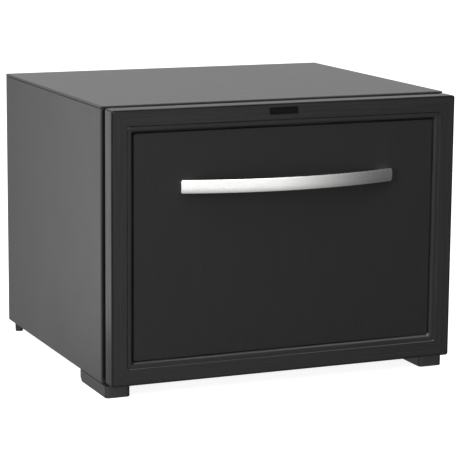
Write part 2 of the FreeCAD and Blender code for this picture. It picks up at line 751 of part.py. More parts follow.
# ---------------------------------------------------------------- telescopic slides (left side)
OUTER_BALL_A = 5.2
INNER_BALL_A = 8.6
RACE_R = BALL_R + RACE_GAP
OUTER_BALL_H = SLIDE_H / 2.0 - SLIDE_STEEL - RACE_R
MIDDLE_H = OUTER_BALL_H - RACE_R
INNER_BALL_H = MIDDLE_H - SLIDE_STEEL - RACE_R
DRAWER_MEMBER_H = INNER_BALL_H - RACE_R
OUTER_CAGE_A = SLIDE_STEEL + RACE_GAP
MIDDLE_A = OUTER_CAGE_A + CAGE_T + RACE_GAP
INNER_CAGE_A = MIDDLE_A + SLIDE_STEEL + RACE_GAP
DRAWER_MEMBER_A = INNER_CAGE_A + CAGE_T + RACE_GAP
CAGE_L = CAGE_PITCH * CAGE_POCKETS
SLIDE_MID = SLIDE_START + SLIDE_L / 2.0


def across(a0, a1, h0, h1, d0, d1):
    """A block of the left slide: a is measured from the liner inwards, h from the slide's middle."""
    return box(-LINER_HALF + a0, -LINER_HALF + a1, d0, d1, SLIDE_Z + h0, SLIDE_Z + h1)


def curled_lip(ball_a, ball_h, side):
    """The edge of a channel, curled round the ball row above (side 1) or below (side -1)."""
    centre = at(-LINER_HALF + ball_a, SLIDE_START, SLIDE_Z + side * ball_h)
    run = V(0, 1, 0)
    outer = Part.makeCylinder(RACE_R + SLIDE_STEEL, SLIDE_L, centre, run)
    inner = Part.makeCylinder(RACE_R, SLIDE_L, centre, run)
    reach = RACE_R + SLIDE_STEEL + 1
    low = -0.5 if side > 0 else -reach
    high = reach if side > 0 else 0.5
    keep = across(ball_a, ball_a + reach, side * ball_h + low, side * ball_h + high,
                  SLIDE_START, SLIDE_END)
    return outer.cut(inner).common(keep)


def channel(web_a, ball_a, ball_h, height):
    """A rolled member: a web, two flat flanges and two lips curled round the balls."""
    parts = [across(web_a, ball_a, height - SLIDE_STEEL, height, SLIDE_START, SLIDE_END),
             across(web_a, ball_a, -height, -height + SLIDE_STEEL, SLIDE_START, SLIDE_END),
             curled_lip(ball_a, ball_h, 1), curled_lip(ball_a, ball_h, -1)]
    web = across(web_a, web_a + SLIDE_STEEL, -height, height, SLIDE_START, SLIDE_END)
    return web.fuse(parts).removeSplitter()


def countersunk(point, direction, radius, length):
    """A countersunk screw, its head flush with the surface at the point."""
    head = Part.makeCone(radius * 1.75, radius, SLIDE_STEEL, point, direction)
    return head.fuse(Part.makeCylinder(radius, length, point, direction))


def slide_screws():
    """Three countersunk screws through the left cabinet member, the liner and the backing plate."""
    length = SLIDE_STEEL + LINER_T + 6.0
    return [countersunk(at(-LINER_HALF + SLIDE_STEEL, d, SLIDE_Z), V(-1, 0, 0), 2.0, length)
            for d in slide_screw_depths()]


def cabinet_member():
    """Outer member of the left slide, screwed to the cabinet."""
    member = channel(0, OUTER_BALL_A, OUTER_BALL_H, SLIDE_H / 2.0)
    return member.cut(slide_screws())


def middle_member():
    """Middle member of the left slide, which runs between the two ball rows."""
    member = channel(MIDDLE_A, INNER_BALL_A, INNER_BALL_H, MIDDLE_H)
    window = Part.makeCylinder(4.0, 4, at(-LINER_HALF + MIDDLE_A - 1, SLIDE_MID, SLIDE_Z), V(1, 0, 0))
    return member.cut(window)


def drawer_member():
    """Inner member of the left slide, fixed to the drawer's rail."""
    high = DRAWER_MEMBER_H
    block = across(DRAWER_MEMBER_A, SLIDE_THICK, -high, high, SLIDE_START, SLIDE_END)
    hollow = across(DRAWER_MEMBER_A - 1, SLIDE_THICK - SLIDE_STEEL, -high + SLIDE_STEEL,
                    high - SLIDE_STEEL, SLIDE_START - 1, SLIDE_END + 1)
    return block.cut(hollow).cut(rail_screws())


def ball_cage(web_a, ball_a, ball_h):
    """Ball cage of the left slide: a strip with notched flanges that space the balls."""
    d0 = SLIDE_MID - CAGE_L / 2.0
    d1 = SLIDE_MID + CAGE_L / 2.0
    half = CAGE_T / 2.0
    reach = ball_a + BALL_R - 0.2
    cage = across(web_a, web_a + CAGE_T, -ball_h - half, ball_h + half, d0, d1)
    for side in (-1, 1):
        flange = across(web_a, reach, side * ball_h - half, side * ball_h + half, d0, d1)
        cage = cage.fuse(flange)
    notches = []
    pocket = BALL_R + RACE_GAP
    for i in range(CAGE_POCKETS):
        d = d0 + CAGE_PITCH * (i + 0.5)
        notches.append(across(ball_a - pocket, ball_a + 4, -ball_h - 2, ball_h + 2,
                              d - pocket, d + pocket))
    return cage.cut(notches).removeSplitter()


def rail_screw_depths():
    """Depths of the screws that join each drawer member to its rail."""
    return [SLIDE_START + RAIL_SCREW_FRONT, SLIDE_END - RAIL_SCREW_REAR]


def rail_screws():
    """Two pan-head screws from inside the left drawer member into the rail."""
    x = -LINER_HALF + SLIDE_THICK - SLIDE_STEEL
    return [screw(at(x, d, SLIDE_Z), V(1, 0, 0), 1.9, SLIDE_STEEL + RAIL_T, 3.4, 1.6)
            for d in rail_screw_depths()]


# ---------------------------------------------------------------- drawer rails, bin and divider
def tab_screws():
    """Two screws through the left rail's front tab into the back of the drawer front."""
    x = -RAIL_OUT + RAIL_TAB * 0.6
    return [screw(at(x, PLUG_FACE + RAIL_T, z), V(0, -1, 0), 2.0, RAIL_T + LINER_T + 7, 3.6, 1.8)
            for z in (RAIL_Z0 + TAB_SCREW_EDGE, RAIL_Z1 - TAB_SCREW_EDGE)]


def cross_screw():
    """Screw that joins the cross rail to the left rail's rear tab."""
    point = at(-RAIL_IN + REAR_TAB / 2.0, RAIL_REAR - RAIL_T, RAIL_Z1 - REAR_TAB_H / 2.0)
    return screw(point, V(0, 1, 0), 1.6, 2 * RAIL_T, 2.8, 1.2)


def bin_rail():
    """Left rail: a folded steel plate between the slide and the bin, with tabs at both ends."""
    web = box(-RAIL_OUT, -RAIL_IN, PLUG_FACE, RAIL_REAR, RAIL_Z0, RAIL_Z1)
    front = box(-RAIL_OUT, -RAIL_OUT + RAIL_TAB, PLUG_FACE, PLUG_FACE + RAIL_T, RAIL_Z0, RAIL_Z1)
    rear = box(-RAIL_OUT, -RAIL_IN + REAR_TAB, RAIL_REAR - RAIL_T, RAIL_REAR,
               RAIL_Z1 - REAR_TAB_H, RAIL_Z1 - 1)
    rail = web.fuse([front, rear]).removeSplitter()
    tab_edge = -RAIL_OUT + RAIL_TAB - 1
    nose = edges_along(rail, V(0, 1, 0), lambda p: p.x > tab_edge)
    rail = rail.makeFillet(6, nose)
    return rail.cut(rail_screws() + tab_screws() + [cross_screw()])


def bin_cross_rail():
    """Steel strip across the back that keeps the two rails parallel."""
    reach = RAIL_IN - 0.3
    middle = RAIL_Z1 - REAR_TAB_H / 2.0
    strip = box(-reach, reach, RAIL_REAR, RAIL_REAR + RAIL_T, middle - CROSS_RAIL_H / 2.0,
                middle + CROSS_RAIL_H / 2.0)
    return strip.cut([cross_screw(), mirrored(cross_screw())])


def bin_outline(grow, d_grow, z, radius):
    """Outline of the bin at one height, between the rails."""
    half = RAIL_IN - BIN_GAP + grow
    d0 = PLUG_FACE + RAIL_T + BIN_FRONT_GAP - d_grow
    d1 = RAIL_REAR - BIN_REAR_GAP + d_grow
    corners = [at(-half, d0, z), at(half, d0, z), at(half, d1, z), at(-half, d1, z)]
    return rounded_wire(corners, radius)


def drawer_bin():
    """Moulded bin: a drafted tub that hangs by its rim on the rails, with ribs in its floor."""
    top = RAIL_Z1 + BIN_RIM_T
    outer = Part.makeLoft([bin_outline(-BIN_DRAFT, -BIN_DRAFT, BIN_FLOOR_Z, BIN_CORNER_R),
                           bin_outline(0, 0, RAIL_Z1, BIN_CORNER_R)], True, True)
    neck = Part.Face(bin_outline(0, 0, RAIL_Z1, BIN_CORNER_R)).extrude(V(0, 0, BIN_RIM_T))
    rim = Part.Face(bin_outline(BIN_RIM_W, BIN_RIM_LAP, RAIL_Z1, BIN_CORNER_R)).extrude(V(0, 0, BIN_RIM_T))
    inner = Part.makeLoft([bin_outline(-BIN_DRAFT - BIN_WALL, -BIN_DRAFT - BIN_WALL,
                                       BIN_FLOOR_Z + BIN_WALL, BIN_CORNER_R - BIN_WALL),
                           bin_outline(-BIN_WALL + 0.05, -BIN_WALL + 0.05, top + 1,
                                       BIN_CORNER_R - BIN_WALL)], True, True)
    tub = outer.fuse([neck, rim]).removeSplitter().cut(inner)
    half = RAIL_IN - BIN_GAP - BIN_DRAFT - RIB_MARGIN
    pitch = 2 * half / (RIB_COUNT - 1)
    d0 = PLUG_FACE + RAIL_T + BIN_FRONT_GAP + RIB_MARGIN
    d1 = RAIL_REAR - BIN_REAR_GAP - RIB_MARGIN
    floor = BIN_FLOOR_Z + BIN_WALL
    ribs = []
    for i in range(RIB_COUNT):
        x = -half + i * pitch
        ribs.append(box(x - RIB_W / 2.0, x + RIB_W / 2.0, d0, d1, floor - 0.5, floor + RIB_H))
    return tub.fuse(ribs).removeSplitter()


def bin_divider():
    """Sliding divider that hooks over both rims of the bin."""
    seat = RAIL_Z1 + BIN_RIM_T + TOUCH
    half = RAIL_IN - BIN_GAP - BIN_WALL - 1.2
    narrow = half - BIN_DRAFT * DIVIDER_DROP / (RAIL_Z1 - BIN_FLOOR_Z)
    d0 = DIVIDER_D - DIVIDER_T / 2.0
    low = seat - DIVIDER_DROP
    outline = Part.makePolygon([at(-half, d0, seat + 3), at(half, d0, seat + 3), at(half, d0, seat - 4),
                                at(narrow, d0, low), at(-narrow, d0, low), at(-half, d0, seat - 4),
                                at(-half, d0, seat + 3)])
    plate = Part.Face(outline).extrude(V(0, DIVIDER_T, 0))
    lip = box(-half, half, DIVIDER_D - 5, DIVIDER_D + 5, seat + 0.6, seat + 3)
    hook = box(-half - 6, -half + 20, DIVIDER_D - 9, DIVIDER_D + 9, seat, seat + 3)
    divider = plate.fuse([lip, hook, mirrored(hook)]).removeSplitter()
    slots = []
    pitch = 2 * (half - DIVIDER_MARGIN) / DIVIDER_SLOTS
    reach = (pitch - DIVIDER_WEB) / 2.0
    for i in range(DIVIDER_SLOTS):
        x = (i - (DIVIDER_SLOTS - 1) / 2.0) * pitch
        slots.append(rounded_block(x - reach, x + reach, d0 - 1, d0 + DIVIDER_T + 1,
                                   low + 12, seat - DIVIDER_WEB, 8, V(0, 1, 0)))
    return divider.cut(slots)


SLIDE_PARTS = {
    "slide_cabinet_member": cabinet_member(),
    "slide_middle_member": middle_member(),
    "slide_drawer_member": drawer_member(),
    "outer_ball_cage": ball_cage(OUTER_CAGE_A, OUTER_BALL_A, OUTER_BALL_H),
    "inner_ball_cage": ball_cage(INNER_CAGE_A, INNER_BALL_A, INNER_BALL_H),
    "bin_rail": bin_rail(),
}
for part_name, shape in SLIDE_PARTS.items():
    PIECES["left_" + part_name] = shape
    PIECES["right_" + part_name] = mirrored(shape)
PIECES["slide_screws"] = both(slide_screws())
PIECES["rail_screws"] = both(rail_screws() + [cross_screw()] + tab_screws())
PIECES["front_back_liner"] = PIECES["front_back_liner"].cut(PIECES["rail_screws"])
PIECES["front_foam"] = PIECES["front_foam"].cut(PIECES["rail_screws"])
PIECES["foam_insulation"] = PIECES["foam_insulation"].cut(PIECES["slide_screws"])
PIECES["inner_liner"] = PIECES["inner_liner"].cut(PIECES["slide_screws"])
PIECES["slide_backing_plates"] = PIECES["slide_backing_plates"].cut(PIECES["slide_screws"])
PIECES["bin_cross_rail"] = bin_cross_rail()
PIECES["drawer_bin"] = drawer_bin()
PIECES["bin_divider"] = bin_divider()


# ---------------------------------------------------------------- evaporator and drip tray
JOIN_X = tube_entry() - JOIN_RUN


def evaporator_tube():
    """Tube that comes in through the rear wall, crosses behind the fin plate and goes out again."""
    upper, lower = tube_heights()
    near = EVAPORATOR_BACK + TUBE_R
    x0 = tube_entry()
    points = [at(JOIN_X, UNIT_MID, upper), at(x0, UNIT_MID, upper), at(x0, near, upper),
              at(-x0, near, upper), at(-x0, near, lower), at(x0, near, lower),
              at(x0, UNIT_MID, lower), at(JOIN_X, UNIT_MID, lower)]
    return bent_tube(points, TUBE_R, ENTRY_BEND)


def evaporator():
    """Extruded aluminium fin plate clamped to the front of the evaporator tube."""
    half = EVAPORATOR_W / 2.0
    low = EVAPORATOR_Z - EVAPORATOR_H / 2.0
    high = EVAPORATOR_Z + EVAPORATOR_H / 2.0
    front = EVAPORATOR_BACK - EVAPORATOR_PLATE_T
    plate = box(-half, half, front, EVAPORATOR_BACK, low, high)
    pitch = (EVAPORATOR_W - FIN_T * 2) / (EVAPORATOR_FINS - 1)
    fins = []
    for i in range(EVAPORATOR_FINS):
        x = -half + i * pitch
        fins.append(box(x, x + FIN_T * 2, front - EVAPORATOR_FIN_D, front, low, high))
    plate = plate.fuse(fins)
    ears = [box(side * (half - 12) - 4, side * (half - 12) + 4, EVAPORATOR_BACK, CAVITY_D - LINER_T,
                EVAPORATOR_Z - 4, EVAPORATOR_Z + 4) for side in (-1, 1)]
    return plate.fuse(ears).removeSplitter()


def drip_tray():
    """Moulded tray under the evaporator, hung on the rear wall."""
    half = EVAPORATOR_W / 2.0 + TRAY_SIDE
    high = EVAPORATOR_Z - EVAPORATOR_H / 2.0 - TRAY_GAP
    low = high - TRAY_H
    front = EVAPORATOR_BACK - EVAPORATOR_PLATE_T - EVAPORATOR_FIN_D - TRAY_GAP
    back = CAVITY_D - LINER_T
    wall = TRAY_WALL
    tray = rounded_block(-half, half, front, back, low, high, 4, V(0, 0, 1))
    hollow = rounded_block(-half + wall, half - wall, front + wall, back - wall, low + wall, high + 1,
                           4 - wall / 2.0, V(0, 0, 1))
    return tray.cut(hollow)


# ---------------------------------------------------------------- absorption cooling unit
JACKET_X = HALF_W - JACKET_SIDE - JACKET_R
JACKET_Z = BODY_BOTTOM + JACKET_RISE
VESSEL_Z = BODY_BOTTOM + VESSEL_RISE
VESSEL_X0 = JACKET_X - VESSEL_RUN - VESSEL_L
CONTROL_BOX_X0 = -HALF_W + SHEET_T
CONTROL_BOX_X1 = CONTROL_BOX_X0 + CONTROL_BOX_W
CONTROL_BOX_Z0 = BODY_BOTTOM + CONTROL_BOX_RISE
CONTROL_BOX_Z1 = CONTROL_BOX_Z0 + CONTROL_BOX_H
CONTROL_BOX_D1 = CABINET_D - INLET_IN
CONTROL_BOX_D0 = CONTROL_BOX_D1 - CONTROL_BOX_D
EXCHANGER_X = CONTROL_BOX_X1 + EXCHANGER_GAP + EXCHANGER_R
COIL_TOP = EVAPORATOR_Z - COIL_DROP
COIL_X0 = EXCHANGER_X + EXCHANGER_R + COIL_ENTRY + TUBE_R
COIL_X1 = JACKET_X - JACKET_R - COIL_GAP - TUBE_R
COIL_PITCH = (COIL_TOP - VESSEL_Z - VESSEL_R - COIL_CLEAR) / (COIL_TURNS - 1)
CONDENSER_Z = BODY_TOP - CONDENSER_DROP
BOILER_TOP = CONDENSER_Z - BOILER_DROP


def absorber_vessel():
    """Horizontal tank of welded steel with dished ends, where the liquor collects."""
    tank = Part.makeCylinder(VESSEL_R, VESSEL_L, at(VESSEL_X0, UNIT_MID, VESSEL_Z), V(1, 0, 0))
    return tank.makeChamfer(5.0, [e for e in tank.Edges if len(e.Vertexes) == 1])


def absorber_coil():
    """Serpentine of level runs above the tank, joined by half-round bends."""
    points = [at(EXCHANGER_X + EXCHANGER_R, UNIT_MID, COIL_TOP)]
    for turn in range(COIL_TURNS):
        z = COIL_TOP - turn * COIL_PITCH
        far = COIL_X1 if turn % 2 == 0 else COIL_X0
        points.append(at(far, UNIT_MID, z))
        if turn < COIL_TURNS - 1:
            points.append(at(far, UNIT_MID, z - COIL_PITCH))
    points.append(at(COIL_X1, UNIT_MID, VESSEL_Z + VESSEL_R - HEATER_WALL))
    return bent_tube(points, TUBE_R, COIL_PITCH / 2.0 - 0.1)


def boiler_tube():
    """Tube from the tank up through the boiler to the condenser."""
    points = [at(VESSEL_X0 + VESSEL_L, UNIT_MID, VESSEL_Z), at(JACKET_X, UNIT_MID, VESSEL_Z),
              at(JACKET_X, UNIT_MID, BOILER_TOP)]
    return bent_tube(points, BOILER_R, 20.0)


def boiler_jacket():
    """Insulated sheet-metal jacket round the boiler, with the heater's pocket."""
    jacket = Part.makeCylinder(JACKET_R, JACKET_H, at(JACKET_X, UNIT_MID, JACKET_Z))
    jacket = jacket.makeChamfer(3.0, [e for e in jacket.Edges if len(e.Vertexes) == 1])
    bore = Part.makeCylinder(BOILER_R, JACKET_H + 2, at(JACKET_X, UNIT_MID, JACKET_Z - 1))
    return jacket.cut([bore, heater_cartridge()])


def heater_cartridge():
    """Electric heater in its pocket beside the boiler tube."""
    return Part.makeCylinder(HEATER_R, JACKET_H / 2.0 + HEATER_OUT,
                             at(JACKET_X, UNIT_MID + BOILER_R + HEATER_R + HEATER_WALL,
                                JACKET_Z - HEATER_OUT))


def condenser():
    """Finned tube along the top, from the boiler to the evaporator's upper tube."""
    upper = tube_heights()[0]
    points = [at(JACKET_X, UNIT_MID, BOILER_TOP), at(JACKET_X, UNIT_MID, CONDENSER_Z),
              at(EXCHANGER_X, UNIT_MID, CONDENSER_Z - CONDENSER_FALL), at(EXCHANGER_X, UNIT_MID, upper),
              at(JOIN_X, UNIT_MID, upper)]
    tube = bent_tube(points, TUBE_R, 16.0)
    fins = []
    middle = (JACKET_X + EXCHANGER_X) / 2.0
    slope = CONDENSER_FALL / (JACKET_X - EXCHANGER_X)
    for i in range(FIN_COUNT):
        x = middle + (i - (FIN_COUNT - 1) / 2.0) * FIN_PITCH
        z = CONDENSER_Z - (JACKET_X - x) * slope
        fins.append(box(x, x + FIN_T, UNIT_MID - FIN_W / 2.0, UNIT_MID + FIN_W / 2.0,
                        z - FIN_H / 2.0, z + FIN_H / 2.0))
    return tube.fuse(fins)


def gas_heat_exchanger():
    """Thick double tube that carries the gas from the evaporator down to the tank."""
    lower = tube_heights()[1]
    points = [at(JOIN_X, UNIT_MID, lower), at(EXCHANGER_X, UNIT_MID, lower),
              at(EXCHANGER_X, UNIT_MID, VESSEL_Z), at(VESSEL_X0, UNIT_MID, VESSEL_Z)]
    return bent_tube(points, EXCHANGER_R, 2.2 * EXCHANGER_R)


def unit_bracket(x):
    """Folded strap that stands the coil off the bulkhead."""
    half = BRACKET_W / 2.0
    face = UNIT_MID - TUBE_R
    wall = INSULATED_D + SHEET_T
    low = VESSEL_Z + VESSEL_R + 2
    high = COIL_TOP + 2 * TUBE_R
    strap = box(x - half, x + half, face - BRACKET_T, face, low, high)
    legs = [box(x - half, x + half, wall, face, high - BRACKET_T, high),
            box(x - half, x + half, wall, face, low, low + BRACKET_T),
            box(x - half, x + half, wall, wall + BRACKET_T, high - BRACKET_FOOT, high),
            box(x - half, x + half, wall, wall + BRACKET_T, low, low + BRACKET_FOOT)]
    return strap.fuse(legs).removeSplitter()


# ---------------------------------------------------------------- electrics
INLET_X = (CONTROL_BOX_X0 + CONTROL_BOX_X1) / 2.0
INLET_Z = (CONTROL_BOX_Z0 + CONTROL_BOX_Z1) / 2.0


def control_box():
    """Moulded box for the terminals, with the inlet's hole in its back."""
    wall = CONTROL_BOX_WALL
    body = rounded_block(CONTROL_BOX_X0, CONTROL_BOX_X1, CONTROL_BOX_D0, CONTROL_BOX_D1,
                         CONTROL_BOX_Z0, CONTROL_BOX_Z1, 3.0, V(0, 1, 0))
    hollow = box(CONTROL_BOX_X0 + wall, CONTROL_BOX_X1 - wall, CONTROL_BOX_D0 + wall,
                 CONTROL_BOX_D1 - wall, CONTROL_BOX_Z0 + wall, CONTROL_BOX_Z1 - wall)
    return body.cut([hollow, inlet_block(0, CONTROL_BOX_D1 - wall - 1, CONTROL_BOX_D1 + 1)])


def inlet_block(grow, d0, d1):
    """The inlet's oblong between two depths, wider all round by grow."""
    half_w = INLET_W / 2.0 + grow
    half_h = INLET_H / 2.0 + grow
    return box(INLET_X - half_w, INLET_X + half_w, d0, d1, INLET_Z - half_h, INLET_Z + half_h)


def mains_inlet():
    """Snap-in appliance inlet with three flat pins, open towards the back."""
    back = CONTROL_BOX_D1
    body = inlet_block(0, back - INLET_DEPTH, back)
    flange = inlet_block(INLET_FLANGE, back, back + INLET_FLANGE)
    socket = inlet_block(-INLET_WALL, back - INLET_DEPTH + INLET_FLOOR, back + INLET_FLANGE + 1)
    return body.fuse(flange).cut(socket).removeSplitter()


def inlet_pins():
    """Three flat plated pins of the inlet: two side pins and an earth pin between and below them."""
    d0 = CONTROL_BOX_D1 - INLET_DEPTH - 4
    d1 = CONTROL_BOX_D1 - 2
    pins = []
    for dx, dz in ((-7, 1.5), (7, 1.5), (0, -2.5)):
        x = INLET_X + dx
        z = INLET_Z + dz
        pins.append(box(x - 1, x + 1, d0, d1, z - 2, z + 2))
    return Part.makeCompound(pins)


HOUSING_X1 = LINER_HALF - HOUSING_SIDE
HOUSING_X0 = HOUSING_X1 - HOUSING_W
HOUSING_Z0 = CEILING - HOUSING_H


def control_housing():
    """Moulded housing under the cavity's ceiling, with the lamp below and the knob in front."""
    wall = HOUSING_WALL
    back = HOUSING_FRONT + HOUSING_D
    body = rounded_block(HOUSING_X0, HOUSING_X1, HOUSING_FRONT, back, HOUSING_Z0, CEILING, 5.0, V(0, 1, 0))
    hollow = box(HOUSING_X0 + wall, HOUSING_X1 - wall, HOUSING_FRONT + wall + 1, back - wall,
                 HOUSING_Z0 + wall, CEILING + 1)
    x, z = knob_centre()
    bore = rod(KNOB_SHAFT_R + KNOB_FIT, at(x, HOUSING_FRONT - 1, z), at(x, HOUSING_FRONT + 4, z))
    return body.cut([hollow, bore, lamp_lens()])


def knob_centre():
    """Middle of the thermostat knob, sideways and in height."""
    return HOUSING_X1 - KNOB_SIDE, (CEILING + HOUSING_Z0) / 2.0


def thermostat_knob():
    """Fluted knob on a short shaft, with a raised pointer bar."""
    x, z = knob_centre()
    face = HOUSING_FRONT - TOUCH
    disc = rod(KNOB_R, at(x, face, z), at(x, face - KNOB_D, z))
    shaft = rod(KNOB_SHAFT_R, at(x, face - 1, z), at(x, HOUSING_FRONT + 8, z))
    waist = ring_about(x, z, KNOB_R - 3.5, KNOB_R + 1, face - KNOB_D - 1, face - 3)
    grip = box(x - 2.5, x + 2.5, face - KNOB_D, face - 3, z - KNOB_R + 1, z + KNOB_R - 1)
    return disc.cut(waist).fuse([grip, shaft]).removeSplitter()


def ring_about(x, z, inner, outer, d0, d1):
    """A round sleeve along the depth about one point."""
    return rod(outer, at(x, d0, z), at(x, d1, z)).cut(rod(inner, at(x, d0 - 1, z), at(x, d1 + 1, z)))


def lamp_lens():
    """Frosted cover of the lamp, let into the bottom of the housing."""
    x0 = HOUSING_X0 + LENS_SIDE
    top = HOUSING_Z0 + HOUSING_WALL
    return box(x0, x0 + LENS_W, HOUSING_FRONT + LENS_END, HOUSING_FRONT + HOUSING_D - LENS_END,
               top - LENS_T, top)


def lamp_board():
    """Small circuit board with the lamp's diodes, above the lens."""
    x0 = HOUSING_X0 + LENS_SIDE + BOARD_EDGE
    x1 = HOUSING_X0 + LENS_SIDE + LENS_W - BOARD_EDGE
    low = HOUSING_Z0 + HOUSING_WALL
    inset = LENS_END + BOARD_EDGE
    return box(x0, x1, HOUSING_FRONT + inset, HOUSING_FRONT + HOUSING_D - inset, low, low + BOARD_T)


def reed_switch():
    """Sealed magnet-worked lamp switch under the front of the ceiling."""
    front = PLUG_FACE + REED_GAP
    return rounded_block(-REED_W / 2.0, REED_W / 2.0, front, front + REED_D, CEILING - REED_H, CEILING,
                         2.5, V(0, 0, 1))


def switch_magnet():
    """Magnet behind the drawer's back liner that works the lamp switch."""
    back = PLUG_FACE - BACK_LINER_T
    high = CEILING - PLUG_END_GAP - SWITCH_DROP
    reach = SWITCH_W / 2.0
    return box(-reach, reach, back - SWITCH_T, back, high - 2 * SWITCH_T, high)


PIECES["evaporator_tube"] = evaporator_tube()
PIECES["evaporator"] = evaporator()
PIECES["drip_tray"] = drip_tray()
PIECES["absorber_vessel"] = absorber_vessel()
PIECES["absorber_coil"] = absorber_coil().cut(PIECES["absorber_vessel"])
PIECES["boiler_tube"] = boiler_tube()
PIECES["boiler_jacket"] = boiler_jacket()
PIECES["heater_cartridge"] = heater_cartridge()
PIECES["condenser"] = condenser()
PIECES["gas_heat_exchanger"] = gas_heat_exchanger()
PIECES["absorber_coil"] = PIECES["absorber_coil"].cut(PIECES["gas_heat_exchanger"])
PIECES["unit_brackets"] = both([unit_bracket(-BRACKET_X)])
PIECES["control_box"] = control_box()
PIECES["inlet_pins"] = inlet_pins()
PIECES["mains_inlet"] = mains_inlet().cut(PIECES["inlet_pins"])
PIECES["control_housing"] = control_housing()
PIECES["thermostat_knob"] = thermostat_knob()
PIECES["lamp_lens"] = lamp_lens()
PIECES["lamp_board"] = lamp_board()
PIECES["reed_switch"] = reed_switch()
PIECES["switch_magnet"] = switch_magnet()
PIECES["front_foam"] = PIECES["front_foam"].cut(PIECES["switch_magnet"])

# ---------------------------------------------------------------- one file per piece
os.makedirs("parts", exist_ok=True)
for name, piece in PIECES.items():
    piece.exportStep("parts/" + name + ".step")
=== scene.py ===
"""Drawer minibar cabinet: steel case, cooled drawer on telescopic slides, absorption unit behind.

Metres, X to the right seen from the front, Y to the back, Z up.
"""

import math

import bmesh
import bpy
from mathutils import Matrix, Vector


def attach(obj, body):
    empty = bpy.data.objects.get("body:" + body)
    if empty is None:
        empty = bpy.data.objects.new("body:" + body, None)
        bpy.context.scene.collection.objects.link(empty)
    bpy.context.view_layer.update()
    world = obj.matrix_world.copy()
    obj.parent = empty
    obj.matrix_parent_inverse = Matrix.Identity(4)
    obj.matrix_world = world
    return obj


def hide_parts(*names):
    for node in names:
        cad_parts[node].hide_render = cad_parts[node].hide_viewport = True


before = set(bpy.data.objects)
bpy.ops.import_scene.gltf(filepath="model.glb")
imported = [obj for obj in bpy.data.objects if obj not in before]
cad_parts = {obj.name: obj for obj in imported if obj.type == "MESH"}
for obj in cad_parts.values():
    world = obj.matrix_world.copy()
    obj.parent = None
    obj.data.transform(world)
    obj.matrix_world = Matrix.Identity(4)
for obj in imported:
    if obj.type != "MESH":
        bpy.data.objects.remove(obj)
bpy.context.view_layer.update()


# ---------------------------------------------------------------- floor, light and camera
# A white card floor in a white room. A large soft box hangs overhead, a smaller one stands at the
# left, and a card behind on the left lights the side. The room's own shades are for what the
# satin paint and the metal mirror: dark at the right, bright in front and overhead.

WHITE = 1.0
FLOOR_WHITE, FLOOR_LIFT, FLOOR_SIZE = 0.93, 0.90, 40.0
ROOM_LIGHT = 0.42
DARK_WAY = (0.97, -0.24, 0.0)
DARK_EDGE, DARK_CORE, DARK_LEVEL = 0.55, 0.90, 0.20
BRIGHT_WAY = (-0.24, -0.97, 0.0)
BRIGHT_EDGE, BRIGHT_CORE, BRIGHT_LEVEL = 0.20, 0.90, 1.20
BACK_EDGE, BACK_CORE, BACK_LEVEL, BACK_TOP = -0.05, 0.30, 0.54, 0.66
CEILING_EDGE, CEILING_CORE = 0.50, 0.90
CEILING_FADES, CEILING_FADED = 0.34, 0.45
CEILING_LEFT, CEILING_RIGHT = 8.0, 0.6
GROUND_EDGE, GROUND_CORE, GROUND_LEVEL = -0.22, -0.70, 0.42
SOFT_BOXES = (
    ("overhead_box", (-0.4, -1.2, 2.3), (0.0, 0.0, 0.2), 1.6, 1.0, 14.0),
    ("left_box", (-1.20, -0.98, 0.72), (-0.1, -0.2, 0.2), 0.45, 0.6, 12.0),
    ("rear_card", (-0.72, 0.58, 0.16), (-0.245, -0.15, 0.16), 0.42, 0.64, 0.90),
)
CAMERA_AT = Vector((-1.126, -2.626, 0.699))
CAMERA_TURN, CAMERA_TILT, CAMERA_ROLL = -23.33, 79.57, 0.47
CAMERA_LENS, CAMERA_FILM = 162.9, 36.0

scene = bpy.context.scene
scene.view_settings.view_transform = "Standard"


class Socket:
    """An output of a shader node, on which Python's operators add Math nodes."""

    def __init__(self, finish, link):
        self.finish = finish
        self.link = link

    def maths(self, operation, *values):
        """The output of a new Math node."""
        settings = {"operation": operation}
        return self.finish.add("ShaderNodeMath", settings, dict(enumerate(values)))

    def __add__(self, other):
        return self.maths("ADD", self, other)

    def __radd__(self, other):
        return self.maths("ADD", other, self)

    def __sub__(self, other):
        return self.maths("SUBTRACT", self, other)

    def __rsub__(self, other):
        return self.maths("SUBTRACT", other, self)

    def __mul__(self, other):
        return self.maths("MULTIPLY", self, other)

    def __rmul__(self, other):
        return self.maths("MULTIPLY", other, self)

    def __gt__(self, other):
        return self.maths("GREATER_THAN", self, other)

    def __lt__(self, other):
        return self.maths("LESS_THAN", self, other)


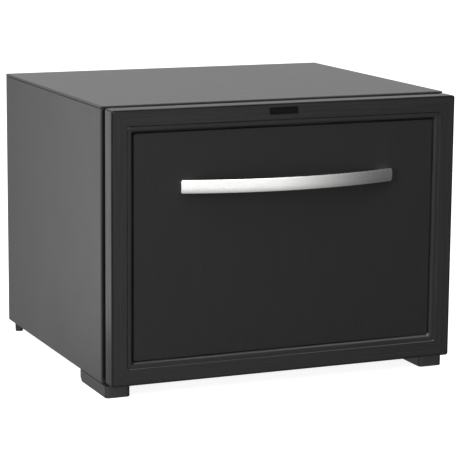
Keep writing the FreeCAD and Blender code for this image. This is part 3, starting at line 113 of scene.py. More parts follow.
class Finish:
    """A material for one surface, or the light of the room, built node by node."""

    def __init__(self, name, shader="ShaderNodeBsdfPrincipled", room=False, **sockets):
        self.material = bpy.data.worlds.new(name) if room else bpy.data.materials.new(name)
        self.material.use_nodes = True
        self.tree = self.material.node_tree
        self.tree.nodes.clear()
        self.shader = self.add(shader, {}, {})
        self.surface(**sockets)
        self.show(self.shader)

    def show(self, shader):
        """Makes a shader the one that is seen."""
        room = isinstance(self.material, bpy.types.World)
        kind = "ShaderNodeOutputWorld" if room else "ShaderNodeOutputMaterial"
        for node in [n for n in self.tree.nodes if n.bl_idname == kind]:
            self.tree.nodes.remove(node)
        output = self.tree.nodes.new(kind)
        self.tree.links.new(shader.link, output.inputs["Surface"])

    def add(self, kind, settings, sockets, output=0):
        """One output of a new node, whose settings are made before its sockets are fed."""
        node = self.tree.nodes.new(kind)
        for setting, value in settings.items():
            setattr(node, setting, value)
        self.feed(node, sockets)
        return Socket(self, node.outputs[output])

    def feed(self, node, sockets):
        """Links or sets a node's sockets. A single number on a colour is a grey."""
        for name, value in sockets.items():
            if isinstance(value, Socket):
                self.tree.links.new(value.link, node.inputs[name])
            elif node.inputs[name].type == "RGBA" and not hasattr(value, "__len__"):
                node.inputs[name].default_value = (value, value, value, 1.0)
            elif node.inputs[name].type == "RGBA" and len(value) == 3:
                node.inputs[name].default_value = (*value, 1.0)
            else:
                node.inputs[name].default_value = value

    def surface(self, **sockets):
        """Feeds the finish's own shader, as in Base_Color=..."""
        named = {name.replace("_", " "): value for name, value in sockets.items()}
        self.feed(self.shader.link.node, named)

    def place(self):
        """A point's place on the piece, in metres."""
        return self.add("ShaderNodeTexCoord", {}, {}, "Object")

    def speckle(self, size, detail=2.0, stretch=(1.0, 1.0, 1.0)):
        """Noise about 0.5 with lumps size metres across, drawn out where stretch is small."""
        point = self.add("ShaderNodeMapping", {}, {"Vector": self.place(), "Scale": stretch})
        sockets = {"Vector": point, "Scale": 1.0 / size, "Detail": detail}
        return self.add("ShaderNodeTexNoise", {"noise_dimensions": "3D"}, sockets, "Fac")

    def tint(self, mask, first, second):
        """Colour first where mask is 0 and second where it is 1."""
        node = self.tree.nodes.new("ShaderNodeMix")
        node.data_type = "RGBA"
        self.feed(node, {"Factor": mask})
        for end, colour in (("A", first), ("B", second)):
            socket = [s for s in node.inputs if s.name == end and s.type == "RGBA"][0]
            socket.default_value = (*colour, 1.0)
        result = [s for s in node.outputs if s.type == "RGBA"][0]
        return Socket(self, result)

    def relief(self, height, depth):
        """Bump for the shader's normal, depth metres from the low to the high of height."""
        sockets = {"Height": height, "Distance": depth, "Strength": 1.0}
        return self.add("ShaderNodeBump", {}, sockets, "Normal")


def spread(mask, low, high, dark=0.0, light=1.0):
    """mask from low to high drawn out to dark to light, and held past its ends."""
    sockets = {"Value": mask, "From Min": low, "From Max": high, "To Min": dark, "To Max": light}
    return mask.finish.add("ShaderNodeMapRange", {"clamp": True}, sockets)


def deselect():
    """Puts Blender in object mode with nothing selected."""
    if bpy.context.object and bpy.context.object.mode != "OBJECT":
        bpy.ops.object.mode_set(mode="OBJECT")
    bpy.ops.object.select_all(action="DESELECT")


card = Finish("floor_card", "ShaderNodeBsdfDiffuse", Color=FLOOR_WHITE)
seen = card.add("ShaderNodeLightPath", {}, {}, "Is Camera Ray")
lift = card.add("ShaderNodeEmission", {}, {"Color": WHITE, "Strength": seen * FLOOR_LIFT})
card.show(card.add("ShaderNodeAddShader", {}, {0: card.shader, 1: lift}))
deselect()
bpy.ops.mesh.primitive_plane_add(size=FLOOR_SIZE, location=(0.0, 0.0, 0.0))
floor = bpy.context.object
floor.name = "floor"
floor.data.materials.append(card.material)
floor.visible_glossy = False

room = Finish("white_room", "ShaderNodeBackground", room=True, Color=WHITE)
ray = room.add("ShaderNodeTexCoord", {}, {}, "Generated")
along = {"operation": "DOT_PRODUCT"}
to_dark = room.add("ShaderNodeVectorMath", along, {0: ray, 1: DARK_WAY}, "Value")
to_bright = room.add("ShaderNodeVectorMath", along, {0: ray, 1: BRIGHT_WAY}, "Value")
shade = spread(to_dark, DARK_EDGE, DARK_CORE, 1.0, DARK_LEVEL)
height = room.add("ShaderNodeSeparateXYZ", {}, {"Vector": ray}, "Z")
back = spread(height, BACK_EDGE, BACK_CORE, BACK_LEVEL, BACK_TOP)
front_share = spread(to_bright, BRIGHT_EDGE, BRIGHT_CORE)
shine = back * (1.0 - front_share) + front_share * BRIGHT_LEVEL
rightwards = room.add("ShaderNodeSeparateXYZ", {}, {"Vector": ray}, "X")
ceiling_level = spread(rightwards, CEILING_FADES, CEILING_FADED, CEILING_LEFT, CEILING_RIGHT)
ceiling = spread(height, CEILING_EDGE, CEILING_CORE, 1.0, ceiling_level)
ground = spread(height, GROUND_CORE, GROUND_EDGE, GROUND_LEVEL, 1.0)
camera_ray = room.add("ShaderNodeLightPath", {}, {}, "Is Camera Ray")
glossy_ray = room.add("ShaderNodeLightPath", {}, {}, "Is Glossy Ray")
lights = (1.0 - glossy_ray) * ROOM_LIGHT + glossy_ray * shade * shine * ceiling * ground
room.surface(Strength=camera_ray + (1.0 - camera_ray) * lights)
scene.world = room.material

for name, place, aim, width, tall, watts in SOFT_BOXES:
    lamp = bpy.data.lights.new(name, "AREA")
    lamp.shape = "RECTANGLE"
    lamp.size = width
    lamp.size_y = tall
    lamp.energy = watts
    holder = bpy.data.objects.new(name, lamp)
    holder.location = place
    holder.rotation_mode = "QUATERNION"
    holder.rotation_quaternion = (Vector(aim) - Vector(place)).to_track_quat("-Z", "Y")
    scene.collection.objects.link(holder)

camera = bpy.data.objects.new("camera", bpy.data.cameras.new("camera"))
turn = Matrix.Rotation(math.radians(CAMERA_TURN), 4, "Z")
tilt = Matrix.Rotation(math.radians(CAMERA_TILT), 4, "X")
roll = Matrix.Rotation(math.radians(CAMERA_ROLL), 4, "Z")
camera.matrix_world = Matrix.Translation(CAMERA_AT) @ turn @ tilt @ roll
camera.data.lens = CAMERA_LENS
camera.data.sensor_width = CAMERA_FILM
scene.collection.objects.link(camera)
scene.camera = camera


# ---------------------------------------------------------------- cabinet shell
# Folded steel sheet, powder coated satin grey-black: two sides, a top and a base. The sides lap
# over the top's folded edges, so a thin dark seam runs along each upper corner.

SHELL_GREY = (0.0195, 0.0195, 0.0200)
SHELL_DUST = (0.0255, 0.0255, 0.0262)
SHELL_ROUGH = (0.36, 0.46)
PEEL_SIZE, PEEL_DEEP, PEEL_SHARE = 0.0011, 0.00006, 0.5
CLOUD_SIZE, CLOUD_RANGE = 0.09, (0.35, 0.68)
PEEL_RANGE = (0.35, 0.65)


def dress(finish, *names):
    """Gives CAD nodes a finish, and leaves their meshes as they are."""
    for name in names:
        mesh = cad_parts[name].data
        mesh.materials.clear()
        mesh.materials.append(finish.material)


shell_paint = Finish("powder_coat")
peel = shell_paint.speckle(PEEL_SIZE, detail=3.0)
cloud = shell_paint.speckle(CLOUD_SIZE, detail=4.0)
uneven = peel * PEEL_SHARE + cloud * (1.0 - PEEL_SHARE)
shell_paint.surface(
    Base_Color=shell_paint.tint(spread(cloud, *CLOUD_RANGE), SHELL_GREY, SHELL_DUST),
    Roughness=spread(uneven, *PEEL_RANGE, *SHELL_ROUGH),
    Normal=shell_paint.relief(peel, PEEL_DEEP),
)
dress(shell_paint, "left_side_panel", "right_side_panel", "top_panel", "base_plate")


# ---------------------------------------------------------------- rear sheets
# Galvanised sheet left bare: the rear rail that ties the sides together, the bulkhead that closes
# the foamed box, the cover of the cooling unit's hatch, and the plates in the foam that the
# slides are screwed to.

ZINC_DARK = (0.34, 0.35, 0.36)
ZINC_LIGHT = (0.50, 0.51, 0.52)
ZINC_METAL, ZINC_ROUGH = 0.85, (0.34, 0.52)
SPANGLES_PER_METRE, SPANGLE_SHARE, ZINC_HAZE = 110.0, 0.7, 0.03

zinc = Finish("galvanised_sheet")
spangle = zinc.add(
    "ShaderNodeTexVoronoi",
    {"feature": "F1"},
    {"Vector": zinc.place(), "Scale": SPANGLES_PER_METRE, "Randomness": 1.0},
    "Color",
)
flake = zinc.add("ShaderNodeSeparateColor", {}, {"Color": spangle}, "Red")
zinc_haze = zinc.speckle(ZINC_HAZE, detail=3.0)
zinc_tone = flake * SPANGLE_SHARE + zinc_haze * (1.0 - SPANGLE_SHARE)
zinc.surface(
    Base_Color=zinc.tint(zinc_tone, ZINC_DARK, ZINC_LIGHT),
    Metallic=ZINC_METAL,
    Roughness=spread(flake, 0.0, 1.0, *ZINC_ROUGH),
)
dress(zinc, "rear_rail", "rear_bulkhead", "hatch_cover", "slide_backing_plates")


# ---------------------------------------------------------------- insulation
# Rigid polyurethane foam blown between shell and liner, in the hatch plug and in the drawer front.

FOAM_PALE = (0.78, 0.66, 0.42)
FOAM_DARK = (0.62, 0.49, 0.27)
CELLS_PER_METRE, CELL_DEEP = 900.0, 0.0005
FOAM_HAZE, FOAM_ROUGH = 0.02, 0.92
MOST = (0.3, 0.7)  # most of a noise's values lie between these

foam = Finish("rigid_foam")
cells = foam.add(
    "ShaderNodeTexVoronoi",
    {"feature": "F1"},
    {"Vector": foam.place(), "Scale": CELLS_PER_METRE},
    "Distance",
)
foam_haze = foam.speckle(FOAM_HAZE, detail=4.0)
foam.surface(
    Base_Color=foam.tint(spread(foam_haze, *MOST), FOAM_PALE, FOAM_DARK),
    Roughness=FOAM_ROUGH,
    Normal=foam.relief(cells, CELL_DEEP),
)
dress(foam, "foam_insulation", "hatch_plug", "front_foam")


# ---------------------------------------------------------------- liners
# White polystyrene, vacuum formed: the tub of the cold space, the tray that backs the drawer, the
# housing of lamp and thermostat, and the drip tray.

LINER_WHITE = (0.80, 0.81, 0.80)
LINER_SHADE = (0.74, 0.75, 0.74)
LINER_ROUGH = (0.30, 0.40)
LINER_HAZE, LINER_GRAIN, LINER_DEEP = 0.05, 0.0006, 0.00003

liner = Finish("white_polystyrene")
liner_haze = liner.speckle(LINER_HAZE, detail=3.0)
liner_grain = liner.speckle(LINER_GRAIN)
liner.surface(
    Base_Color=liner.tint(liner_haze, LINER_WHITE, LINER_SHADE),
    Roughness=spread(liner_grain, *MOST, *LINER_ROUGH),
    Normal=liner.relief(liner_grain, LINER_DEEP),
)
dress(liner, "inner_liner", "front_back_liner", "control_housing", "drip_tray")


# ---------------------------------------------------------------- drawer front
# A moulded ABS frame under black brushed foil holds a recessed satin sheet, in front of the foam.
# Fine grooves run round its outer edge and round the opening, which rolls in to a slope, and the
# frame wraps back to a lip at the gasket.

NEAR = 0.00001
SMOOTH_ANGLE = math.radians(32.0)
QUARTER_TURN = math.radians(90.0)
FRONT_HALF, FRONT_LOW, FRONT_HIGH = 0.244, 0.0192, 0.3752
FRONT_MIDDLE = (FRONT_LOW + FRONT_HIGH) / 2.0
LIP_Y, FACE_Y, EDGE_ROUND = -0.1794, -0.2040, 0.0010
LIP_T, LIP_W = 0.00055, 0.0046
CORNER, CORNER_STEPS = 0.0025, 5
MITRE_LONG, OPENING_SPAN = 0.05, 0.25
SHADOW_Y, SHADOW_BLACK = -0.1824, 0.004
# each ring goes so far inwards and is raised so far
EDGE_RINGS = ((0.00005, 0.00035), (0.00015, 0.00030), (0.0003, 0.00025), (0.0005, 0.0001))
EDGE_GROOVE_RINGS = ((0.0002, -0.0008), (0.0005, 0.0), (0.0005, 0.0008), (0.0004, 0.0))
OPENING_GROOVE_RINGS = (
    (0.0182, 0.0), (0.0003, 0.0), (0.0009, -0.0009), (0.0001, 0.0), (0.0003, 0.0003), (0.0005, 0.0)
)
ROLL_START, ROLL_R, ROLL_TURN, ROLL_STEPS = 0.0262, 0.0030, 36.0, 7
SLOPE_DEEP = 0.0025
FOIL_LINES, BRUSHED, FOIL_DEEP = 0.0011, 0.012, 0.00005
FOIL_RANGE, FOIL_ROUGH = (0.35, 0.65), (0.20, 0.38)
FRAME_BLACK = (0.0015, 0.0015, 0.0017)
FRAME_WORN = (0.0120, 0.0120, 0.0123)
DECOR_BLACK = (0.0215, 0.0215, 0.0219)
DECOR_STREAK = (0.0265, 0.0265, 0.0270)
DECOR_LINES, DECOR_GRAIN, DECOR_DEEP = 0.0014, 0.0005, 0.00003
DECOR_RANGE, DECOR_ROUGH, STREAK_SHARE = (0.2, 0.8), (0.38, 0.44), 0.6
ABS_IOR, SATIN_IOR = 1.39, 1.12


def settle(name, finish, body):
    """Names the active piece, puts its place into its mesh, and dresses it on a body."""
    piece = bpy.context.object
    if piece.mode != "OBJECT":
        bpy.ops.object.mode_set(mode="OBJECT")
    bpy.ops.object.transform_apply(location=True, rotation=True, scale=True)
    bpy.ops.object.shade_smooth_by_angle(angle=SMOOTH_ANGLE)
    piece.name = piece.data.name = name
    piece.data.materials.clear()
    piece.data.materials.append(finish.material)
    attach(piece, body)
    return piece


def pick(kind, test):
    """Selects, in edit mode, the active piece's faces, edges or vertices that pass test."""
    bpy.ops.mesh.select_mode(type=kind)
    bpy.ops.mesh.select_all(action="DESELECT")
    mesh = bmesh.from_edit_mesh(bpy.context.object.data)
    parts = {"FACE": mesh.faces, "EDGE": mesh.edges, "VERT": mesh.verts}[kind]
    for part in parts:
        if test(part):
            part.select_set(True)
    mesh.select_flush_mode()
    bmesh.update_edit_mesh(bpy.context.object.data)


def from_edge(point):
    """How far a point of the front lies in from the side edges and from the top or bottom."""
    return FRONT_HALF - abs(point.x), FRONT_HIGH - FRONT_MIDDLE - abs(point.z - FRONT_MIDDLE)


def is_mitre(edge):
    """True for the edges that run from the outer corners to the corners of the opening."""
    start, end = (from_edge(vertex.co) for vertex in edge.verts)
    on_corner = all(abs(side - level) < NEAR for side, level in (start, end))
    length = (edge.verts[0].co - edge.verts[1].co).length
    return on_corner and length < MITRE_LONG


def reach(face, axis):
    """How far a face reaches along one axis."""
    places = [vertex.co[axis] for vertex in face.verts]
    return max(places) - min(places)


frame_plastic = Finish("brushed_black_foil", IOR=ABS_IOR)
front_place = {"Vector": frame_plastic.place()}
front_x = frame_plastic.add("ShaderNodeSeparateXYZ", {}, front_place, "X")
front_y = frame_plastic.add("ShaderNodeSeparateXYZ", {}, front_place, "Y")
front_z = frame_plastic.add("ShaderNodeSeparateXYZ", {}, front_place, "Z")
off_middle = front_z - FRONT_MIDDLE
side_in = FRONT_HALF - front_x.maths("ABSOLUTE", front_x)
level_in = FRONT_HIGH - FRONT_MIDDLE - off_middle.maths("ABSOLUTE", off_middle)
upright = side_in < level_in
lines_up = frame_plastic.speckle(FOIL_LINES, detail=3.0, stretch=(1.0, 1.0, BRUSHED))
lines_across = frame_plastic.speckle(FOIL_LINES, detail=3.0, stretch=(BRUSHED, 1.0, 1.0))
foil_lines = lines_up * upright + lines_across * (1.0 - upright)
frame_plastic.surface(
    Base_Color=frame_plastic.tint(spread(foil_lines, *MOST), FRAME_BLACK, FRAME_WORN),
    Roughness=spread(foil_lines, *FOIL_RANGE, *FOIL_ROUGH),
    Normal=frame_plastic.relief(foil_lines, FOIL_DEEP),
)
# The frame's rear edge behind SHADOW_Y is drawn flat black: painted shade for the dark gap between
# the frame and the cabinet.
painted_gap_shade = frame_plastic.add("ShaderNodeBsdfDiffuse", {}, {"Color": SHADOW_BLACK})
foil_and_painted_shade = {0: front_y > SHADOW_Y, 1: frame_plastic.shader, 2: painted_gap_shade}
frame_plastic.show(frame_plastic.add("ShaderNodeMixShader", {}, foil_and_painted_shade))

deselect()
bpy.ops.mesh.primitive_plane_add(
    size=1.0, location=(0.0, LIP_Y, FRONT_MIDDLE), rotation=(QUARTER_TURN, 0.0, 0.0)
)
bpy.context.object.scale = (2.0 * FRONT_HALF, FRONT_HIGH - FRONT_LOW, 1.0)
bpy.ops.object.transform_apply(location=True, rotation=True, scale=True)
bpy.ops.object.mode_set(mode="EDIT")
bpy.ops.mesh.select_all(action="SELECT")
forward = {"value": (0.0, FACE_Y + EDGE_ROUND - LIP_Y, 0.0)}
bpy.ops.mesh.extrude_region_move(TRANSFORM_OT_translate=forward)
so_far = 0.0
for inwards, raised in EDGE_RINGS + EDGE_GROOVE_RINGS + OPENING_GROOVE_RINGS:
    bpy.ops.mesh.inset(thickness=inwards, depth=raised)
    so_far += inwards
bpy.ops.mesh.inset(thickness=ROLL_START - so_far, depth=0.0)
last_in, last_deep = 0.0, 0.0
for step in range(1, ROLL_STEPS + 1):
    turn_by = math.radians(ROLL_TURN) * step / ROLL_STEPS
    now_in = ROLL_R * math.sin(turn_by)
    now_deep = ROLL_R * (1.0 - math.cos(turn_by))
    bpy.ops.mesh.inset(thickness=now_in - last_in, depth=last_deep - now_deep)
    last_in, last_deep = now_in, now_deep
slope_in = SLOPE_DEEP / math.tan(math.radians(ROLL_TURN))
bpy.ops.mesh.inset(thickness=slope_in, depth=-SLOPE_DEEP)
pick("FACE", lambda face: all(abs(v.co.y - LIP_Y) < NEAR for v in face.verts))
bpy.ops.mesh.inset(thickness=LIP_W, depth=0.0)
pick("FACE", lambda face: reach(face, 0) > OPENING_SPAN and reach(face, 2) > OPENING_SPAN)
bpy.ops.mesh.delete(type="FACE")
pick("EDGE", is_mitre)
bpy.ops.mesh.bevel(
    offset=CORNER, offset_type="OFFSET", segments=CORNER_STEPS, affect="EDGES", clamp_overlap=False
)
front_frame = settle("frame_moulding", frame_plastic, "drawer")
wall = front_frame.modifiers.new("wall", "SOLIDIFY")
wall.thickness = LIP_T
wall.offset = -1.0
bpy.ops.object.modifier_apply(modifier="wall")
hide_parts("front_frame")

decor = Finish("satin_sheet", IOR=SATIN_IOR)
streak = decor.speckle(DECOR_LINES, detail=3.0, stretch=(1.0, 1.0, BRUSHED))
decor_grain = decor.speckle(DECOR_GRAIN)
streaked = streak * STREAK_SHARE + decor_grain * (1.0 - STREAK_SHARE)
decor.surface(
    Base_Color=decor.tint(spread(streak, *DECOR_RANGE), DECOR_BLACK, DECOR_STREAK),
    Roughness=spread(streaked, *MOST, *DECOR_ROUGH),
    Normal=decor.relief(decor_grain, DECOR_DEEP),
)
dress(decor, "decor_panel")


# ---------------------------------------------------------------- bare plate
# A small gloss black plate let into the top band by its glued back, with a fine raised rim.

PLATE_LEFT, PLATE_RIGHT, PLATE_LOW, PLATE_HIGH = -0.0270, 0.0130, 0.3606, 0.3700
PLATE_T, PLATE_LET_IN, PLATE_CORNER = 0.0009, 0.0002, 0.0012
PLATE_BLACK, PLATE_IOR = (0.0025, 0.0025, 0.0026), 1.18
PLATE_HAZE, PLATE_ROUGH = 0.004, (0.10, 0.18)
PLATE_RIM = ((0.0001, 0.0001), (0.0005, 0.0), (0.0002, -0.0003))
FACING = 0.9  # a face whose normal has this much of an axis counts as square to it


def block(low, high):
    """Adds a box between two corners as the active object, its size and place in its mesh."""
    deselect()
    middle = [(a + b) / 2.0 for a, b in zip(low, high)]
    bpy.ops.mesh.primitive_cube_add(size=1.0, location=middle)
    bpy.context.object.scale = [b - a for a, b in zip(low, high)]
    bpy.ops.object.transform_apply(location=True, rotation=True, scale=True)


def runs_along(edge, axis):
    """True for an edge that is parallel to one axis."""
    across = edge.verts[0].co - edge.verts[1].co
    return all(abs(across[other]) < NEAR for other in range(3) if other != axis)


gloss = Finish("gloss_plate", Base_Color=PLATE_BLACK, IOR=PLATE_IOR)
gloss.surface(Roughness=spread(gloss.speckle(PLATE_HAZE), *MOST, *PLATE_ROUGH))
block(
    (PLATE_LEFT, FACE_Y - PLATE_T, PLATE_LOW), (PLATE_RIGHT, FACE_Y + PLATE_LET_IN, PLATE_HIGH)
)
bpy.ops.object.mode_set(mode="EDIT")
pick("EDGE", lambda edge: runs_along(edge, 1))
bpy.ops.mesh.bevel(offset=PLATE_CORNER, segments=4, affect="EDGES")
pick("FACE", lambda face: face.normal.y < -FACING)
for inwards, raised in PLATE_RIM:
    bpy.ops.mesh.inset(thickness=inwards, depth=raised)
plate = settle("bare_plate", gloss, "drawer")


# ---------------------------------------------------------------- handle
# A bowed bar of die-cast zinc with a crowned front and drafted edges, brushed along its length
# and nickel plated, screwed from behind.

BAR_HALF, BAR_H, BAR_T, BAR_CROWN = 0.1505, 0.0174, 0.0065, 0.0013
BAR_R, BAR_Z, BAR_FRONT = 0.4745, 0.2737, -0.2320
SEAT_X, SEAT_Y = 0.1305, -0.2001
BAR_CORNER, BAR_EDGE, BAR_BACK_EDGE, BAR_DRAFT = 0.0030, 0.0005, 0.0003, 0.0012
CROWN_CUTS, HALF_BOW, BOW_STEPS = 11, 18.8, 32
END_TURNS = (0, 13, 26, 39, 52, 65, 78, -13, -26, -39, -52, -65, -78)
MERGED = 0.00002
NICKEL = (0.88, 0.88, 0.87)
NICKEL_SHADE = (0.78, 0.78, 0.77)
LONG_LINES, LONG_DRAWN, LINE_DEEP = 0.0034, (0.010, 1.0, 1.0), 0.000003
FINE_LINES, FINE_DRAWN = 0.0009, (0.005, 1.0, 1.0)
NICKEL_RANGE, NICKEL_ROUGH, LONG_SHARE = (0.25, 0.75), (0.20, 0.30), 0.5

nickel = Finish("brushed_nickel")
long_lines = nickel.speckle(LONG_LINES, detail=2.0, stretch=LONG_DRAWN)
fine_lines = nickel.speckle(FINE_LINES, detail=1.0, stretch=FINE_DRAWN)
brushing = long_lines * LONG_SHARE + fine_lines * (1.0 - LONG_SHARE)
nickel.surface(
    Base_Color=nickel.tint(spread(brushing, *MOST), NICKEL, NICKEL_SHADE),
    Metallic=1.0,
    Roughness=spread(brushing, *NICKEL_RANGE, *NICKEL_ROUGH),
    Normal=nickel.relief(long_lines, LINE_DEEP),
)
bow_middle = Vector((0.0, BAR_FRONT + BAR_R, BAR_Z))
flat_front, bar_back = BAR_FRONT + BAR_CROWN, BAR_FRONT + BAR_T
seat_reach = BAR_R - BAR_T + 2.0 * BAR_BACK_EDGE
deselect()
bpy.ops.mesh.primitive_plane_add(
    size=1.0,
    location=(0.0, (flat_front + bar_back) / 2.0, BAR_Z),
    rotation=(0.0, QUARTER_TURN, 0.0),
)
bpy.context.object.scale = (BAR_H, BAR_T - BAR_CROWN, 1.0)
bpy.ops.object.transform_apply(location=True, rotation=True, scale=True)
bpy.ops.object.mode_set(mode="EDIT")
pick("EDGE", lambda edge: all(v.co.y < flat_front + NEAR for v in edge.verts))
bpy.ops.mesh.subdivide(number_cuts=CROWN_CUTS)
pick("VERT", lambda v: v.co.y < flat_front + NEAR and abs(v.co.z - BAR_Z) < NEAR)
bpy.ops.transform.translate(
    value=(0.0, -BAR_CROWN, 0.0),
    use_proportional_edit=True,
    proportional_edit_falloff="INVERSE_SQUARE",
    proportional_size=BAR_H / 2.0,
)
at_back = bar_back - NEAR
pick("VERT", lambda v: v.co.y > at_back)
narrow = (1.0, 1.0, 1.0 - 2.0 * BAR_DRAFT / BAR_H)
bpy.ops.transform.resize(value=narrow, center_override=(0.0, 0.0, BAR_Z))
pick("VERT", lambda v: v.co.y < at_back and abs(v.co.z - BAR_Z) > BAR_H / 2.0 - NEAR)
bpy.ops.mesh.bevel(offset=BAR_EDGE, segments=4, affect="VERTICES")
pick("VERT", lambda v: v.co.y > at_back)
bpy.ops.mesh.bevel(offset=BAR_BACK_EDGE, segments=2, affect="VERTICES")
bpy.ops.mesh.select_all(action="SELECT")
bpy.ops.mesh.spin(
    steps=BOW_STEPS, angle=math.radians(HALF_BOW), center=bow_middle, axis=(0.0, 0.0, 1.0)
)
# the half of the bow lies on the side that the spin turned to
furthest = max(v.co.x for v in bmesh.from_edit_mesh(bpy.context.object.data).verts)
end_side = -1.0 if furthest < SEAT_X else 1.0
pick("FACE", lambda face: all(abs(v.co.x) < NEAR for v in face.verts))
bpy.ops.mesh.delete(type="FACE")
pick("VERT", lambda v: abs(v.co.x) > SEAT_X and (v.co - bow_middle).xy.length < seat_reach)
bpy.ops.transform.resize(value=(1.0, 0.0, 1.0), center_override=(0.0, SEAT_Y, 0.0))
for turn in END_TURNS:
    lean = math.radians(turn)
    out = Vector((end_side * math.cos(lean), 0.0, math.sin(lean)))
    drop = math.copysign(BAR_H / 2.0 - BAR_CORNER, turn)
    hub = Vector((end_side * (BAR_HALF - BAR_CORNER), 0.0, BAR_Z + drop))
    bpy.ops.mesh.select_all(action="SELECT")
    bpy.ops.mesh.bisect(
        plane_co=hub + out * BAR_CORNER, plane_no=out, use_fill=True, clear_outer=True
    )
bpy.ops.object.mode_set(mode="OBJECT")
bow = bpy.context.object
other_half = bow.modifiers.new("other_half", "MIRROR")
other_half.merge_threshold = MERGED
bpy.ops.object.modifier_apply(modifier="other_half")
bpy.ops.object.mode_set(mode="EDIT")
bpy.ops.mesh.select_all(action="SELECT")
bpy.ops.mesh.remove_doubles(threshold=MERGED)
bpy.ops.mesh.normals_make_consistent(inside=False)
bpy.ops.object.mode_set(mode="OBJECT")
bow = settle("bow_handle", nickel, "drawer")
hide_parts("handle")


# ---------------------------------------------------------------- gasket and magnets
# Soft black PVC extrusion, welded at its mitred corners, with a magnet strip inside. A thin fin
# folded as a bellows stands round it and closes the gap behind the frame's lip.

PVC_BLACK, PVC_IOR, PVC_ROUGH = 0.004, 1.12, (0.46, 0.60)
PVC_GRAIN, PVC_DEEP = 0.0008, 0.00005
FIN_HALF, FIN_LOW, FIN_HIGH = 0.2424, 0.0208, 0.3736
FIN_FRONT, FIN_BACK, FIN_T = -0.1792, -0.1688, 0.0006
FOLDS, FOLD = 7, 0.0009
FIN_CORNER, FIN_CORNER_STEPS = 0.0040, 6

gasket_pvc = Finish("gasket_pvc", Base_Color=PVC_BLACK, IOR=PVC_IOR)
pvc_grain = gasket_pvc.speckle(PVC_GRAIN, detail=3.0)
gasket_pvc.surface(
    Roughness=spread(pvc_grain, *MOST, *PVC_ROUGH), Normal=gasket_pvc.relief(pvc_grain, PVC_DEEP)
)
dress(gasket_pvc, "gasket", "gasket_magnets", "switch_magnet")

fin_middle = (FIN_LOW + FIN_HIGH) / 2.0
deselect()
bpy.ops.mesh.primitive_plane_add(
    size=1.0, location=(0.0, FIN_FRONT, fin_middle), rotation=(QUARTER_TURN, 0.0, 0.0)
)
bpy.context.object.scale = (2.0 * FIN_HALF, FIN_HIGH - FIN_LOW, 1.0)
bpy.ops.object.transform_apply(location=True, rotation=True, scale=True)
bpy.ops.object.mode_set(mode="EDIT")
bpy.ops.mesh.select_all(action="SELECT")
to_back = {"value": (0.0, FIN_BACK - FIN_FRONT, 0.0)}
bpy.ops.mesh.extrude_region_move(TRANSFORM_OT_translate=to_back)
pick("FACE", lambda face: abs(face.normal.y) > FACING)
bpy.ops.mesh.delete(type="FACE")
pick("EDGE", lambda edge: runs_along(edge, 1))
bpy.ops.mesh.bevel(offset=FIN_CORNER, segments=FIN_CORNER_STEPS, affect="EDGES")
narrow = (1.0 - FOLD / FIN_HALF, 1.0, 1.0 - 2.0 * FOLD / (FIN_HIGH - FIN_LOW))
for fold in range(1, FOLDS):
    across = FIN_FRONT + (FIN_BACK - FIN_FRONT) * fold / FOLDS
    bpy.ops.mesh.select_all(action="SELECT")
    bpy.ops.mesh.bisect(plane_co=(0.0, across, 0.0), plane_no=(0.0, 1.0, 0.0))
    if fold % 2:
        pick("VERT", lambda v: abs(v.co.y - across) < NEAR)
        bpy.ops.transform.resize(value=narrow, center_override=(0.0, across, fin_middle))
bpy.ops.mesh.select_all(action="SELECT")
bpy.ops.mesh.normals_make_consistent(inside=False)
fin = settle("gasket_fin", gasket_pvc, "drawer")
wall = fin.modifiers.new("wall", "SOLIDIFY")
wall.thickness = FIN_T
bpy.ops.object.modifier_apply(modifier="wall")


# ---------------------------------------------------------------- seam shadow
# A thin black strip laid in the seam between the top and each side: painted shadow of the seam
# line.

SEAM_SHADOW_X, SEAM_SHADOW_HALF, SEAM_SHADOW_ROUND = 0.24410, 0.00025, 0.0001
SEAM_SHADOW_LOW, SEAM_SHADOW_HIGH, SEAM_SHADOW_FRONT, SEAM_SHADOW_BACK = 0.37345, 0.37398, -0.1660, 0.1310

for number, shadow_x in enumerate((-SEAM_SHADOW_X, SEAM_SHADOW_X)):
    block((shadow_x - SEAM_SHADOW_HALF, SEAM_SHADOW_FRONT, SEAM_SHADOW_LOW), (shadow_x + SEAM_SHADOW_HALF, SEAM_SHADOW_BACK, SEAM_SHADOW_HIGH))
    bpy.ops.object.mode_set(mode="EDIT")
    pick("EDGE", lambda edge: runs_along(edge, 1))
    bpy.ops.mesh.bevel(offset=SEAM_SHADOW_ROUND, segments=2, affect="EDGES")
    shadow_strip = settle("seam_shadow_strip_%d" % number, gasket_pvc, "cabinet")


# ---------------------------------------------------------------- feet and zinc plated screws
# Moulded nylon blocks screwed under the front corners, and small round feet behind. Their screws
# are of the same zinc as those of the handle, the slides and the rails.

NYLON_BLACK, NYLON_IOR, NYLON_ROUGH = (0.011, 0.011, 0.0115), 1.50, (0.36, 0.46)
NYLON_GRAIN, NYLON_DEEP = 0.0006, 0.00006

foot_nylon = Finish("foot_nylon", Base_Color=NYLON_BLACK, IOR=NYLON_IOR)
nylon_grain = foot_nylon.speckle(NYLON_GRAIN, detail=3.0)
foot_nylon.surface(
    Roughness=spread(nylon_grain, *MOST, *NYLON_ROUGH),
    Normal=foot_nylon.relief(nylon_grain, NYLON_DEEP),
)
dress(foot_nylon, "left_front_foot", "right_front_foot", "rear_feet")
dress(zinc, "foot_screws", "handle_screws", "slide_screws", "rail_screws")


# ---------------------------------------------------------------- telescopic slides
# Three rolled steel channels each side, bright zinc plated, on balls held by two long cages. The
# bin hangs on two rails and a cross rail of the same sheet.

PLATED_DARK = (0.55, 0.56, 0.57)
PLATED_LIGHT = (0.66, 0.67, 0.68)
PLATED_ROUGH = (0.24, 0.36)
ROLLED_LINES, ROLLED_DRAWN = 0.0008, (1.0, 0.02, 1.0)

